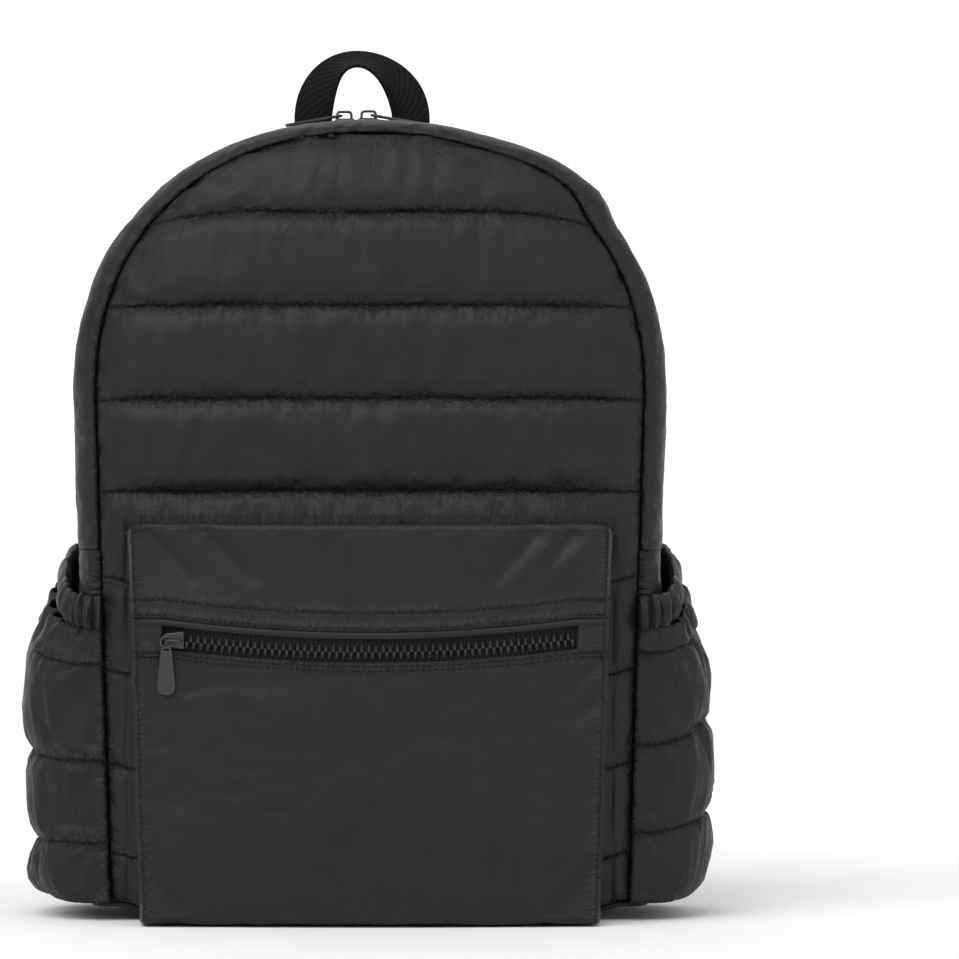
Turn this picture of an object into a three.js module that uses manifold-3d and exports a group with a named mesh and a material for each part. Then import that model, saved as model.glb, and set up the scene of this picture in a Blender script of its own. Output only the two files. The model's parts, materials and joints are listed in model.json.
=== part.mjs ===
// Quilted puffer backpack, in millimetres, +Z up, front towards -Y, standing on its base.
// Every panel is its own closed solid, sewn edge to edge with a small gap, so the bag is hollow.
import * as THREE from 'three';
import { mergeVertices } from 'three/addons/utils/BufferGeometryUtils.js';
import Module from 'manifold-3d';

const wasm = await Module();
wasm.setup();

// Body
const BODY_WIDTH = 320;
const BODY_HEIGHT = 432;
const BODY_DEPTH = 115;
const ARCH_START = 284;
const ARCH_POWER = 2.2;
const SIDE_TAPER = 0.05;
const SEAM_GAP = 0.3;
const EDGE_ROLL = 12;
const TOP_ROLL_SHARE = 0.6;
const FRONT_ROLL_DEPTH = 20;
const BACK_ROLL_DEPTH = 15;
const GUSSET_WALL = 5;
const PANEL_WALL = 3;
const BASE_WALL = 3;
const BASE_MARGIN = 2;
const BASE_CORNER = 14;

// Quilting
const CHANNEL_PITCH = 50;
const FIRST_STITCH = 32;
const PUFF = 7;
const PUFF_POWER = 0.75;
const FRONT_BULGE = 16;
const BACK_BULGE = 6;
const FOOT_ROUNDING = 40;

// Main zip, over the arch
const ZIP_DEPTH_SHARE = 0.7;
const ZIP_START_HEIGHT = 200;
const MAIN_WINDOW = 13;
const EDGE_WALL = 2;
const TAPE_WALL = 0.8;
const TAPE_OVERLAP = 4;
const TAPE_ROOM = 1;
const TEETH_WIDTH = 6;
const TEETH_WALL = 2.2;
const TOOTH_PITCH = 3.8;
const MAIN_SLIDER_PLACES = [-14, -1];

// Sliders and pull tabs
const SLIDER_LENGTH = 11;
const SLIDER_WIDTH = 11;
const SLIDER_PLATE = 4;
const SLIDER_CORNER = 2.5;
const CROWN_BAR = 1.2;
const CROWN_WIDTH = 2;
const CROWN_ROOM = 3;
const CROWN_INSIDE = 6.3;
const CROWN_SETBACK = 0.9;
const CROWN_ROOT = 1;
const PULL_LENGTH = 32;
const PULL_EYE = 3.8;
const PULL_HOLE = 2.2;
const PULL_WIDTH = 9.8;
const PULL_NECK = 6.6;
const PULL_WALL = 1.6;
const MAIN_PULL_SLOPE = 5;

// Front pocket
const POCKET_TOP_WIDTH = 260;
const POCKET_BOTTOM_WIDTH = 247;
const POCKET_TOP = 215;
const POCKET_BOTTOM = 3;
const POCKET_STAND = 26;
const POCKET_BULGE = 9;
const POCKET_CORNER = 8;
const POCKET_TOP_ROUND = 7;
const POCKET_FOOT_ROUND = 6;
const POCKET_WALL = 3;
const POCKET_SEAM_ROOM = 2;
const FRONT_ZIP_HEIGHT = 154;
const FRONT_ZIP_SAG = 7;
const WINDOW_MARGIN = 19;
const FRONT_WINDOW_HEIGHT = 14;
const ZIP_END_ROOM = 1;
const TAPE_END_OVERLAP = 3;

// Side pockets
const SIDE_POCKET_FOOT = 2;
const SIDE_POCKET_TOP = 172;
const SIDE_POCKET_REACH = 30;
const SIDE_POCKET_FOOT_REACH = 7;
const SIDE_POCKET_WALL = 3;
const SIDE_POCKET_SEAM = 0.5;
const SIDE_POCKET_PUFF = 4;
const SIDE_POCKET_POWER = 3;
const BAND_HEIGHT = 18;
const BAND_REACH = 12;
const BAND_WALL = 4;
const BAND_PUFF = 1.6;
const GATHERS = 8;

// Carry handle
const WEBBING_WIDTH = 21;
const WEBBING_WALL = 2;
const HANDLE_RISE = 38;
const HANDLE_LEG_SPACING = 54;
const HANDLE_OFFSET = -4.4;
const HANDLE_TWIST = 66;
const HANDLE_SEWN = 9;
const HANDLE_LEG_RISE = 4;

// Shoulder straps
const STRAP_WIDTH = 58;
const STRAP_WALL = 10;
const STRAP_EDGE = 3;
const STRAP_END_SHARE = 0.8;
const STRAP_BOW = 28;
const STRAP_TOP_DROP = 36;
const STRAP_STANDOFF = 1;
const STRAP_PAD_END = 122;
const STRAP_TOP_SPACING = 92;
const STRAP_END_SPACING = 212;
const STRAP_WEBBING_WIDTH = 25;
const STRAP_WEBBING_WALL = 1.6;
const STRAP_WEBBING_EDGE = 0.4;
const ADJUSTER_WIDTH = 34;
const ADJUSTER_LENGTH = 26;
const ADJUSTER_WALL = 4;
const ADJUSTER_CORNER = 3;
const ADJUSTER_SLOT = 4;
const ADJUSTER_SLOT_SPACING = 11.8;
const KEEPER_LENGTH = 18;
const ANCHOR_HEIGHT = 34;
const ANCHOR_FOOT = 8;
const ANCHOR_WALL = 2;
const ANCHOR_FLARE = 4;

// Worked out from the sizes above
const HALF_WIDTH = BODY_WIDTH / 2;
const ARCH_RISE = BODY_HEIGHT - ARCH_START;
const FRONT_SEAM = -BODY_DEPTH / 2;
const BACK_SEAM = BODY_DEPTH / 2;
const ZIP_LINE = FRONT_SEAM + BODY_DEPTH * ZIP_DEPTH_SHARE;
const PANEL_FOOT = BASE_WALL + SEAM_GAP;
const PANEL_INSET = EDGE_ROLL + SEAM_GAP / TOP_ROLL_SHARE;
const PANEL_TOP = ARCH_START + archRise(PANEL_INSET);
const FRONT_WINDOW_WIDTH = POCKET_TOP_WIDTH - 2 * WINDOW_MARGIN;
const STRAP_TOP = BODY_HEIGHT - STRAP_TOP_DROP;

const radians = THREE.MathUtils.degToRad;
const lerp = THREE.MathUtils.lerp;
const clamp = THREE.MathUtils.clamp;

// Half the body's width at a height, over the rolled edges
function halfWidthAt(z) {
  if (z <= ARCH_START) return HALF_WIDTH * (1 - SIDE_TAPER * (1 - z / ARCH_START));
  const rise = Math.min((z - ARCH_START) / ARCH_RISE, 1);
  return HALF_WIDTH * (1 - rise ** ARCH_POWER) ** (1 / ARCH_POWER);
}

// How high the outline stands over the arch's start, drawn in by an inset: the roll is flatter
// over the top than on the sides
function archRise(inset) {
  return ARCH_RISE - inset * TOP_ROLL_SHARE;
}

// Half the width of the outline drawn in by an inset
function insetHalfWidth(z, inset) {
  if (z <= ARCH_START) return halfWidthAt(z) - inset;
  const rise = Math.min((z - ARCH_START) / archRise(inset), 1);
  return (HALF_WIDTH - inset) * (1 - rise ** ARCH_POWER) ** (1 / ARCH_POWER);
}

// Stations along the arch, from the left zip end over the top to the right one
function archStations(sideSteps, archSteps) {
  const left = [];
  for (let i = 0; i < sideSteps; i += 1) {
    left.push({ side: -1, z: lerp(ZIP_START_HEIGHT, ARCH_START, i / sideSteps) });
  }
  const top = [];
  for (let i = 0; i <= archSteps; i += 1) top.push({ angle: Math.PI * (1 - i / archSteps) });
  const right = left.map((station) => ({ side: 1, z: station.z })).reverse();
  return [...left, ...top, ...right];
}

// The point of the outline at a station, drawn in by an inset, at a depth y
function outlinePoint(station, inset, y) {
  if (station.side) {
    const x = station.side * (halfWidthAt(station.z) - inset);
    return new THREE.Vector3(x, y, station.z);
  }
  const power = 2 / ARCH_POWER;
  const across = Math.cos(station.angle);
  const up = Math.max(Math.sin(station.angle), 0);
  return new THREE.Vector3(
    (HALF_WIDTH - inset) * Math.sign(across) * Math.abs(across) ** power,
    y,
    ARCH_START + archRise(inset) * up ** power,
  );
}

// A closed mesh from points and triangles, turned so that its faces point out
function closedGeometry(points, triangles) {
  let volume = 0;
  for (const [a, b, c] of triangles) {
    volume += points[a].dot(new THREE.Vector3().crossVectors(points[b], points[c]));
  }
  const turned = volume < 0 ? triangles.map(([a, b, c]) => [a, c, b]) : triangles;
  const geometry = new THREE.BufferGeometry();
  const positions = points.flatMap((point) => [point.x, point.y, point.z]);
  geometry.setAttribute('position', new THREE.Float32BufferAttribute(positions, 3));
  geometry.setIndex(turned.flat());
  geometry.computeVertexNormals();
  return geometry;
}

// The closed solid between two grids of points, with a wall round the rim
function sheetSolid(outer, inner) {
  const rows = outer.length;
  const cols = outer[0].length;
  const points = [...outer.flat(), ...inner.flat()];
  const at = (row, col, layer) => layer * rows * cols + row * cols + col;
  const triangles = [];
  const quad = (a, b, c, d) => triangles.push([a, b, c], [a, c, d]);
  for (let r = 0; r + 1 < rows; r += 1) {
    for (let c = 0; c + 1 < cols; c += 1) {
      quad(at(r, c, 0), at(r, c + 1, 0), at(r + 1, c + 1, 0), at(r + 1, c, 0));
      quad(at(r, c, 1), at(r + 1, c, 1), at(r + 1, c + 1, 1), at(r, c + 1, 1));
    }
  }
  for (let c = 0; c + 1 < cols; c += 1) {
    quad(at(0, c, 1), at(0, c + 1, 1), at(0, c + 1, 0), at(0, c, 0));
    quad(at(rows - 1, c, 0), at(rows - 1, c + 1, 0), at(rows - 1, c + 1, 1), at(rows - 1, c, 1));
  }
  for (let r = 0; r + 1 < rows; r += 1) {
    quad(at(r, 0, 0), at(r + 1, 0, 0), at(r + 1, 0, 1), at(r, 0, 1));
    quad(at(r, cols - 1, 1), at(r + 1, cols - 1, 1), at(r + 1, cols - 1, 0), at(r, cols - 1, 0));
  }
  return closedGeometry(points, triangles);
}

// The closed solid through rings of points, with a middle point on each end
function loftSolid(rings) {
  const count = rings[0].length;
  const points = rings.flat();
  const triangles = [];
  for (let r = 0; r + 1 < rings.length; r += 1) {
    for (let i = 0; i < count; i += 1) {
      const a = r * count + i;
      const b = r * count + ((i + 1) % count);
      triangles.push([a, b, b + count], [a, b + count, a + count]);
    }
  }
  const capEnd = (ring, start, reversed) => {
    const middle = new THREE.Vector3();
    for (const point of ring) middle.addScaledVector(point, 1 / count);
    const hub = points.push(middle) - 1;
    for (let i = 0; i < count; i += 1) {
      const a = start + i;
      const b = start + ((i + 1) % count);
      triangles.push(reversed ? [hub, b, a] : [hub, a, b]);
    }
  };
  capEnd(rings[0], 0, true);
  capEnd(rings[rings.length - 1], (rings.length - 1) * count, false);
  return closedGeometry(points, triangles);
}

function toManifold(geometry) {
  const bare = new THREE.BufferGeometry();
  bare.setAttribute('position', geometry.getAttribute('position').clone());
  if (geometry.index) bare.setIndex(geometry.index.clone());
  const merged = mergeVertices(bare);
  return new wasm.Manifold(new wasm.Mesh({
    numProp: 3,
    vertProperties: new Float32Array(merged.getAttribute('position').array),
    triVerts: new Uint32Array(merged.index.array),
  }));
}

function toGeometry(manifold) {
  const mesh = manifold.getMesh();
  const geometry = new THREE.BufferGeometry();
  geometry.setAttribute('position', new THREE.BufferAttribute(mesh.vertProperties, 3));
  geometry.setIndex(new THREE.BufferAttribute(mesh.triVerts, 1));
  geometry.computeVertexNormals();
  return geometry;
}

function extrudeFlat(shape, depth, curveSegments = 4) {
  return new THREE.ExtrudeGeometry(shape, { depth, bevelEnabled: false, curveSegments });
}

function roundedRectangle(width, height, radius) {
  const shape = new THREE.Shape();
  const x = width / 2;
  const y = height / 2;
  shape.moveTo(-x + radius, -y);
  shape.lineTo(x - radius, -y);
  shape.absarc(x - radius, -y + radius, radius, -Math.PI / 2, 0);
  shape.lineTo(x, y - radius);
  shape.absarc(x - radius, y - radius, radius, 0, Math.PI / 2);
  shape.lineTo(-x + radius, y);
  shape.absarc(-x + radius, y - radius, radius, Math.PI / 2, Math.PI);
  shape.lineTo(-x, -y + radius);
  shape.absarc(-x + radius, -y + radius, radius, Math.PI, Math.PI * 1.5);
  return shape;
}

// Materials
function cloth(color, roughness) {
  return new THREE.MeshStandardMaterial({ color, roughness, metalness: 0, side: THREE.DoubleSide });
}
const NYLON = () => cloth(0x303030, 0.55);
const LINING_SIDE = () => cloth(0x2a2a2a, 0.7);
const WEBBING = () => cloth(0x131313, 0.9);
const ZIP_TAPE = () => cloth(0x1d1d1d, 0.9);
const ZIP_TEETH = () => cloth(0x2c2c2c, 0.4);
const PAINTED_METAL = () => new THREE.MeshStandardMaterial({
  color: 0x3b3b3b, roughness: 0.35, metalness: 0.7,
});
const PLASTIC = () => cloth(0x1a1a1a, 0.45);

const bag = new THREE.Group();

function addPiece(name, geometry, material) {
  const mesh = new THREE.Mesh(geometry, material);
  mesh.name = name;
  bag.add(mesh);
  return mesh;
}

// Quilted front panel

const TOP_FLAT = 0.8;
const PANEL_COLUMNS = [0, 0.26, 0.5, 0.7, 0.85, 0.94, 1];
const BACK_COLUMNS = [0, 0.4, 0.72, 0.92, 1];

function mirroredShares(shares) {
  return [...shares.slice(1).map((share) => -share).reverse(), ...shares];
}

// Heights of the stitch lines below the top seam
function stitchHeights() {
  const heights = [];
  for (let z = FIRST_STITCH; z < PANEL_TOP - CHANNEL_PITCH / 3; z += CHANNEL_PITCH) heights.push(z);
  return heights;
}

// Rows of the front panel: a height, and its share of the way through its channel
function panelRows() {
  const lines = [PANEL_FOOT, ...stitchHeights(), PANEL_TOP];
  const rows = [];
  for (let i = 0; i + 1 < lines.length; i += 1) {
    const last = i + 2 === lines.length;
    let cells = 3;
    if (i === 0) cells = 2;
    else if (last) cells = 5;
    else if (lines[i + 1] > POCKET_TOP) cells = 4;
    for (let k = 0; k < cells; k += 1) {
      const share = last ? Math.sin((k / cells) * Math.PI / 2) : k / cells;
      rows.push({ z: lerp(lines[i], lines[i + 1], share), share });
    }
  }
  rows.push({ z: PANEL_TOP - TOP_FLAT, share: 1 });
  return rows;
}

// How near a point is to the seam: 0 in the middle, 1 on the seam
function seamNearness(x, z) {
  if (z <= ARCH_START) return Math.abs(x) / insetHalfWidth(z, PANEL_INSET);
  const across = Math.abs(x) / (HALF_WIDTH - PANEL_INSET);
  const up = (z - ARCH_START) / archRise(PANEL_INSET);
  return Math.min((across ** ARCH_POWER + up ** ARCH_POWER) ** (1 / ARCH_POWER), 1);
}

// How far the panel swells out of its seam plane at a point
function panelSwell(x, z, bulge) {
  const nearness = seamNearness(x, z);
  const foot = z < FOOT_ROUNDING ? 1 - ((FOOT_ROUNDING - z) / FOOT_ROUNDING) ** 2 : 1;
  return bulge * (1 - nearness ** 4) * foot;
}

function frontSurface(x, row) {
  const nearness = seamNearness(x, row.z);
  const puff = PUFF * Math.sin(Math.PI * row.share) ** PUFF_POWER * (1 - nearness ** 10);
  return FRONT_SEAM - panelSwell(x, row.z, FRONT_BULGE) - puff;
}

function panelGrid(depthAt) {
  return panelRows().map((row) => {
    const half = insetHalfWidth(row.z, PANEL_INSET);
    return mirroredShares(PANEL_COLUMNS).map((share) => {
      const x = share * half;
      return new THREE.Vector3(x, depthAt(x, row), row.z);
    });
  });
}

function frontPanel() {
  const outer = panelGrid(frontSurface);
  const inner = panelGrid((x, row) => FRONT_SEAM - panelSwell(x, row.z, FRONT_BULGE) + PANEL_WALL);
  return sheetSolid(outer, inner);
}

addPiece('front_panel', frontPanel(), NYLON());

// Back panel, smooth

function backSurface(x, z) {
  return BACK_SEAM + panelSwell(x, z, BACK_BULGE);
}

function backPanel() {
  const heights = [PANEL_FOOT, 20, 40, 90, 150, 210, 260, ARCH_START];
  for (let i = 1; i <= 8; i += 1) {
    heights.push(lerp(ARCH_START, PANEL_TOP - TOP_FLAT, Math.sin((i / 8) * Math.PI / 2)));
  }
  const grid = (offset) => heights.map((z) => {
    const half = insetHalfWidth(z, PANEL_INSET);
    return mirroredShares(BACK_COLUMNS).map((share) => {
      const x = share * half;
      return new THREE.Vector3(x, backSurface(x, z) - offset, z);
    });
  });
  return sheetSolid(grid(0), grid(PANEL_WALL));
}

addPiece('back_panel', backPanel(), LINING_SIDE());

// Gusset: profile samples across the depth, each an inset and a depth, outside and inside

const ROLL_ANGLES = [0, 26, 56, 90];

function rollSample(angle, seam, direction, rollDepth) {
  const s = Math.sin(radians(angle));
  const c = 1 - Math.cos(radians(angle));
  return {
    outer: { inset: EDGE_ROLL * (1 - s), y: seam + direction * rollDepth * c },
    inner: {
      inset: EDGE_ROLL - (EDGE_ROLL - GUSSET_WALL) * s,
      y: seam + direction * (GUSSET_WALL + (rollDepth - GUSSET_WALL) * c),
    },
  };
}

function flatSample(y, wall) {
  return { outer: { inset: 0, y }, inner: { inset: wall, y } };
}

const frontRoll = ROLL_ANGLES.map((angle) => rollSample(angle, FRONT_SEAM, 1, FRONT_ROLL_DEPTH));
const backRoll = ROLL_ANGLES.map((angle) => rollSample(angle, BACK_SEAM, -1, BACK_ROLL_DEPTH)).reverse();
const windowFront = ZIP_LINE - MAIN_WINDOW / 2;
const windowBack = ZIP_LINE + MAIN_WINDOW / 2;
const tapeClear = TAPE_OVERLAP + TAPE_ROOM;

function bandSolid(stations, profile) {
  const grid = (side) => stations.map((station) => profile.map(
    (sample) => outlinePoint(station, sample[side].inset, sample[side].y),
  ));
  return sheetSolid(grid('outer'), grid('inner'));
}

const ARCH = archStations(4, 28);

addPiece('gusset_front', bandSolid(ARCH, [
  ...frontRoll,
  flatSample(windowFront - tapeClear - GUSSET_WALL, GUSSET_WALL),
  flatSample(windowFront - tapeClear, EDGE_WALL),
  flatSample(windowFront, EDGE_WALL),
]), NYLON());

addPiece('gusset_back', bandSolid(ARCH, [
  flatSample(windowBack, EDGE_WALL),
  flatSample(windowBack + tapeClear, EDGE_WALL),
  ...backRoll,
]), NYLON());

// Side panels under the gusset's ends, and the base

function sidePanel(side) {
  const profile = [...frontRoll, flatSample(0, GUSSET_WALL), ...backRoll];
  const stations = [];
  for (let i = 0; i <= 4; i += 1) {
    stations.push({ side, z: lerp(PANEL_FOOT, ZIP_START_HEIGHT - SEAM_GAP, i / 4) });
  }
  return bandSolid(stations, profile);
}

addPiece('side_panel_left', sidePanel(-1), NYLON());
addPiece('side_panel_right', sidePanel(1), NYLON());

const baseShape = roundedRectangle(
  2 * (halfWidthAt(0) - BASE_MARGIN),
  BODY_DEPTH - BASE_MARGIN,
  BASE_CORNER,
);
addPiece('base_panel', extrudeFlat(baseShape, BASE_WALL), NYLON());

// Main zip: tape and teeth, sunk between the two gusset bands

const TAPE_INSET = EDGE_WALL + SEAM_GAP;
const TEETH_INSET = EDGE_WALL - TEETH_WALL;

function zipBand(stations, halfWidth, inset, wall) {
  const sample = (y) => ({ outer: { inset, y }, inner: { inset: inset + wall, y } });
  return bandSolid(stations, [sample(ZIP_LINE - halfWidth), sample(ZIP_LINE + halfWidth)]);
}

// The angle of the arch at which the outline stands over a place across the top
function archAngle(x) {
  const share = Math.abs(x) / HALF_WIDTH;
  return Math.acos(Math.sign(x) * share ** (ARCH_POWER / 2));
}

const sliderClear = SLIDER_LENGTH / 2 + SEAM_GAP;
const stationClear = TEETH_WALL / 2;
const teethLeftEnd = MAIN_SLIDER_PLACES[0] - sliderClear;
const teethRightEnd = MAIN_SLIDER_PLACES[1] + sliderClear;
const leftOfSliders = ARCH.filter((s) => outlinePoint(s, 0, 0).x < teethLeftEnd - stationClear);
const rightOfSliders = ARCH.filter((s) => outlinePoint(s, 0, 0).x > teethRightEnd + stationClear);

addPiece(
  'main_zip_tape',
  zipBand(ARCH, MAIN_WINDOW / 2 + TAPE_OVERLAP, TAPE_INSET, TAPE_WALL),
  ZIP_TAPE(),
);
addPiece('main_zip_teeth_left', zipBand(
  [...leftOfSliders, { angle: archAngle(teethLeftEnd) }],
  TEETH_WIDTH / 2,
  TEETH_INSET,
  TEETH_WALL,
), ZIP_TEETH());
addPiece('main_zip_teeth_right', zipBand(
  [{ angle: archAngle(teethRightEnd) }, ...rightOfSliders],
  TEETH_WIDTH / 2,
  TEETH_INSET,
  TEETH_WALL,
), ZIP_TEETH());

// Slider: length along x, outside towards +z, the crown's free end towards -x

const CROWN_START = -SLIDER_LENGTH / 2 + CROWN_SETBACK;

function sliderGeometry() {
  const plate = extrudeFlat(roundedRectangle(SLIDER_LENGTH, SLIDER_WIDTH, SLIDER_CORNER), SLIDER_PLATE, 3);
  const high = CROWN_ROOM + CROWN_BAR;
  const long = CROWN_INSIDE + 2 * CROWN_BAR;
  const crown = new THREE.Shape();
  crown.moveTo(0, -CROWN_ROOT);
  crown.lineTo(0, high - CROWN_BAR);
  crown.lineTo(CROWN_BAR, high);
  crown.lineTo(long - CROWN_BAR, high);
  crown.lineTo(long, high - CROWN_BAR);
  crown.lineTo(long, -CROWN_ROOT);
  crown.lineTo(long - CROWN_BAR, -CROWN_ROOT);
  crown.lineTo(long - CROWN_BAR, CROWN_ROOM);
  crown.lineTo(CROWN_BAR, CROWN_ROOM);
  crown.lineTo(CROWN_BAR, -CROWN_ROOT);
  const arch = extrudeFlat(crown, CROWN_WIDTH);
  arch.rotateX(Math.PI / 2);
  arch.translate(CROWN_START, CROWN_WIDTH / 2, SLIDER_PLATE);
  return toGeometry(toManifold(plate).add(toManifold(arch)));
}

// Pull tab: the middle of its eye at the origin, the tab towards -x, flat in the plane z = 0
function pullGeometry() {
  const shape = new THREE.Shape();
  const neck = PULL_NECK / 2;
  const half = PULL_WIDTH / 2;
  const end = PULL_LENGTH - PULL_EYE;
  const neckAngle = Math.asin(neck / PULL_EYE);
  shape.absarc(0, 0, PULL_EYE, -Math.PI + neckAngle, Math.PI - neckAngle);
  shape.lineTo(-end + half, half);
  shape.absarc(-end + half, 0, half, Math.PI / 2, Math.PI * 1.5);
  const hole = new THREE.Path();
  hole.absarc(0, 0, PULL_HOLE, 0, Math.PI * 2, true);
  shape.holes.push(hole);
  const plate = extrudeFlat(shape, PULL_WALL, 5);
  plate.translate(0, 0, -PULL_WALL / 2);
  return plate;
}

const HINGE_HEIGHT = CROWN_ROOM / 2;
const RIM_MIDDLE = (PULL_EYE + PULL_HOLE) / 2;
const HINGE_FROM_CROWN = CROWN_ROOM / 2;

// The two main sliders at the top, their tabs lying along the zip, away from each other
MAIN_SLIDER_PLACES.forEach((place, index) => {
  const name = index === 0 ? 'left' : 'right';
  const seat = outlinePoint({ angle: archAngle(place) }, TAPE_INSET - SEAM_GAP, ZIP_LINE);
  const holder = new THREE.Group();
  holder.position.copy(seat);
  holder.rotation.z = index === 0 ? 0 : Math.PI;
  const slider = new THREE.Mesh(sliderGeometry(), PAINTED_METAL());
  slider.name = `main_slider_${name}`;
  const tab = new THREE.Group();
  const hingeX = CROWN_START + CROWN_BAR + HINGE_FROM_CROWN;
  tab.position.set(hingeX, 0, SLIDER_PLATE + HINGE_HEIGHT);
  tab.rotation.y = -radians(MAIN_PULL_SLOPE);
  const plate = new THREE.Mesh(pullGeometry(), PAINTED_METAL());
  plate.name = `main_puller_${name}`;
  plate.position.x = -RIM_MIDDLE;
  tab.add(plate);
  holder.add(slider, tab);
  bag.add(holder);
});

// Front pocket

const POCKET_BACK = FRONT_SEAM + POCKET_SEAM_ROOM;
const POCKET_HEIGHT = POCKET_TOP - POCKET_BOTTOM;
const FACE_COLUMNS = [0, 0.22, 0.44, 0.66, 0.84];
const POCKET_FACE = FRONT_SEAM - FRONT_BULGE - POCKET_STAND;

function pocketHalfWidth(z) {
  const share = clamp((z - POCKET_BOTTOM) / POCKET_HEIGHT, 0, 1);
  return lerp(POCKET_BOTTOM_WIDTH, POCKET_TOP_WIDTH, share) / 2;
}

function pocketFace(x, z) {
  const share = clamp((z - POCKET_BOTTOM) / POCKET_HEIGHT, 0, 1);
  const across = clamp(x / pocketHalfWidth(z), -1, 1);
  const fullness = 0.7 + 0.3 * Math.sin(Math.PI * share);
  return POCKET_FACE - POCKET_BULGE * (1 - across ** 2) * fullness;
}

// How far the face draws back at a height, round the top and the foot
function pocketDrawback(z) {
  const top = clamp((z - POCKET_TOP + POCKET_TOP_ROUND) / POCKET_TOP_ROUND, 0, 1);
  const foot = clamp((POCKET_BOTTOM + POCKET_FOOT_ROUND - z) / POCKET_FOOT_ROUND, 0, 1);
  return POCKET_TOP_ROUND * (1 - Math.sqrt(1 - top ** 2))
    + POCKET_FOOT_ROUND * (1 - Math.sqrt(1 - foot ** 2));
}

// The outline of the pocket at a height, seen from above, drawn in by the wall for its inside
function pocketRing(z, wall, back) {
  const half = pocketHalfWidth(z) - wall;
  const radius = POCKET_CORNER - wall;
  const sag = pocketDrawback(z) + wall;
  const left = [new THREE.Vector3(-half, back, z)];
  for (const angle of [0, 30, 60]) {
    const x = -half + radius * (1 - Math.cos(radians(angle)));
    const y = pocketFace(x, z) + sag + radius * (1 - Math.sin(radians(angle)));
    left.push(new THREE.Vector3(x, y, z));
  }
  for (const share of FACE_COLUMNS.slice(1).reverse()) {
    const x = -share * (half - radius / 2);
    left.push(new THREE.Vector3(x, pocketFace(x, z) + sag, z));
  }
  const middle = new THREE.Vector3(0, pocketFace(0, z) + sag, z);
  const right = left.map((p) => new THREE.Vector3(-p.x, p.y, p.z)).reverse();
  return [...left, middle, ...right];
}

function pocketHeights(bottom, top) {
  const round = top - POCKET_TOP_ROUND + POCKET_WALL;
  const heights = [bottom, bottom + 2, bottom + 5];
  for (const share of [0.25, 0.45, 0.62, 0.78]) heights.push(lerp(bottom, top, share));
  for (const share of [0, 0.5, 0.8, 0.95, 1]) heights.push(lerp(round, top, share));
  return heights;
}

function pocketShell() {
  const outer = loftSolid(pocketHeights(POCKET_BOTTOM, POCKET_TOP)
    .map((z) => pocketRing(z, 0, POCKET_BACK)));
  const inner = loftSolid(pocketHeights(POCKET_BOTTOM + POCKET_WALL, POCKET_TOP - POCKET_WALL)
    .map((z) => pocketRing(z, POCKET_WALL, POCKET_BACK + PANEL_WALL)));
  const behind = sheetSolid(
    panelGrid((x, row) => frontSurface(x, row) - SEAM_GAP),
    panelGrid(() => BACK_SEAM),
  );
  return toManifold(outer).subtract(toManifold(inner)).subtract(toManifold(behind));
}

// Height of the flap's seam across the pocket: it hangs lowest in the middle
function flapSeam(x) {
  const share = x / (FRONT_WINDOW_WIDTH / 2);
  return FRONT_ZIP_HEIGHT - FRONT_ZIP_SAG * (1 - Math.min(share ** 2, 1)) + FRONT_WINDOW_HEIGHT / 2;
}

// A curved block across the pocket between two heights measured from the flap's seam
function seamBlock(halfWidth, lower, upper) {
  const shares = mirroredShares([0, 0.2, 0.4, 0.6, 0.8, 1]);
  const grid = (y) => [lower, upper].map((height) => shares.map((share) => {
    const x = share * halfWidth;
    return new THREE.Vector3(x, y, flapSeam(x) + height);
  }));
  return toManifold(sheetSolid(grid(2 * POCKET_FACE), grid(0)));
}

const shell = pocketShell();
const wide = POCKET_TOP_WIDTH;
const flapCutter = seamBlock(wide, SEAM_GAP / 2, POCKET_TOP);
const lowerCutter = seamBlock(wide, -POCKET_TOP, -SEAM_GAP / 2);
const windowCutter = seamBlock(FRONT_WINDOW_WIDTH / 2, -FRONT_WINDOW_HEIGHT, 1);

addPiece('front_pocket_flap', toGeometry(shell.intersect(flapCutter)), NYLON());
addPiece(
  'front_pocket_lower',
  toGeometry(shell.intersect(lowerCutter).subtract(windowCutter)),
  NYLON(),
);

// Front zip behind the pocket's window

const FRONT_TAPE_SETBACK = POCKET_WALL + 2 * SEAM_GAP;
const frontSliderPlace = -FRONT_WINDOW_WIDTH / 2 + SLIDER_LENGTH / 2 + ZIP_END_ROOM;
const frontTeethStart = frontSliderPlace + sliderClear;
const frontTeethEnd = FRONT_WINDOW_WIDTH / 2 - ZIP_END_ROOM;

function zipMiddle(x) {
  return flapSeam(x) - FRONT_WINDOW_HEIGHT / 2;
}

function frontZipSheet(xs, edges, setback, wall) {
  const grid = (depth) => edges.map((edge) => xs.map((x, index) => {
    const z = zipMiddle(x) + edge(index);
    return new THREE.Vector3(x, pocketFace(x, z) + depth, z);
  }));
  return sheetSolid(grid(setback), grid(setback + wall));
}

const tapeHalf = FRONT_WINDOW_WIDTH / 2 + TAPE_END_OVERLAP;
const tapeEdge = FRONT_WINDOW_HEIGHT / 2 + TAPE_OVERLAP;
const tapeXs = mirroredShares([0, 0.2, 0.4, 0.6, 0.8, 1]).map((share) => share * tapeHalf);
addPiece('front_zip_tape', frontZipSheet(
  tapeXs,
  [() => -tapeEdge, () => 0, () => tapeEdge],
  FRONT_TAPE_SETBACK,
  TAPE_WALL,
), ZIP_TAPE());

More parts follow.
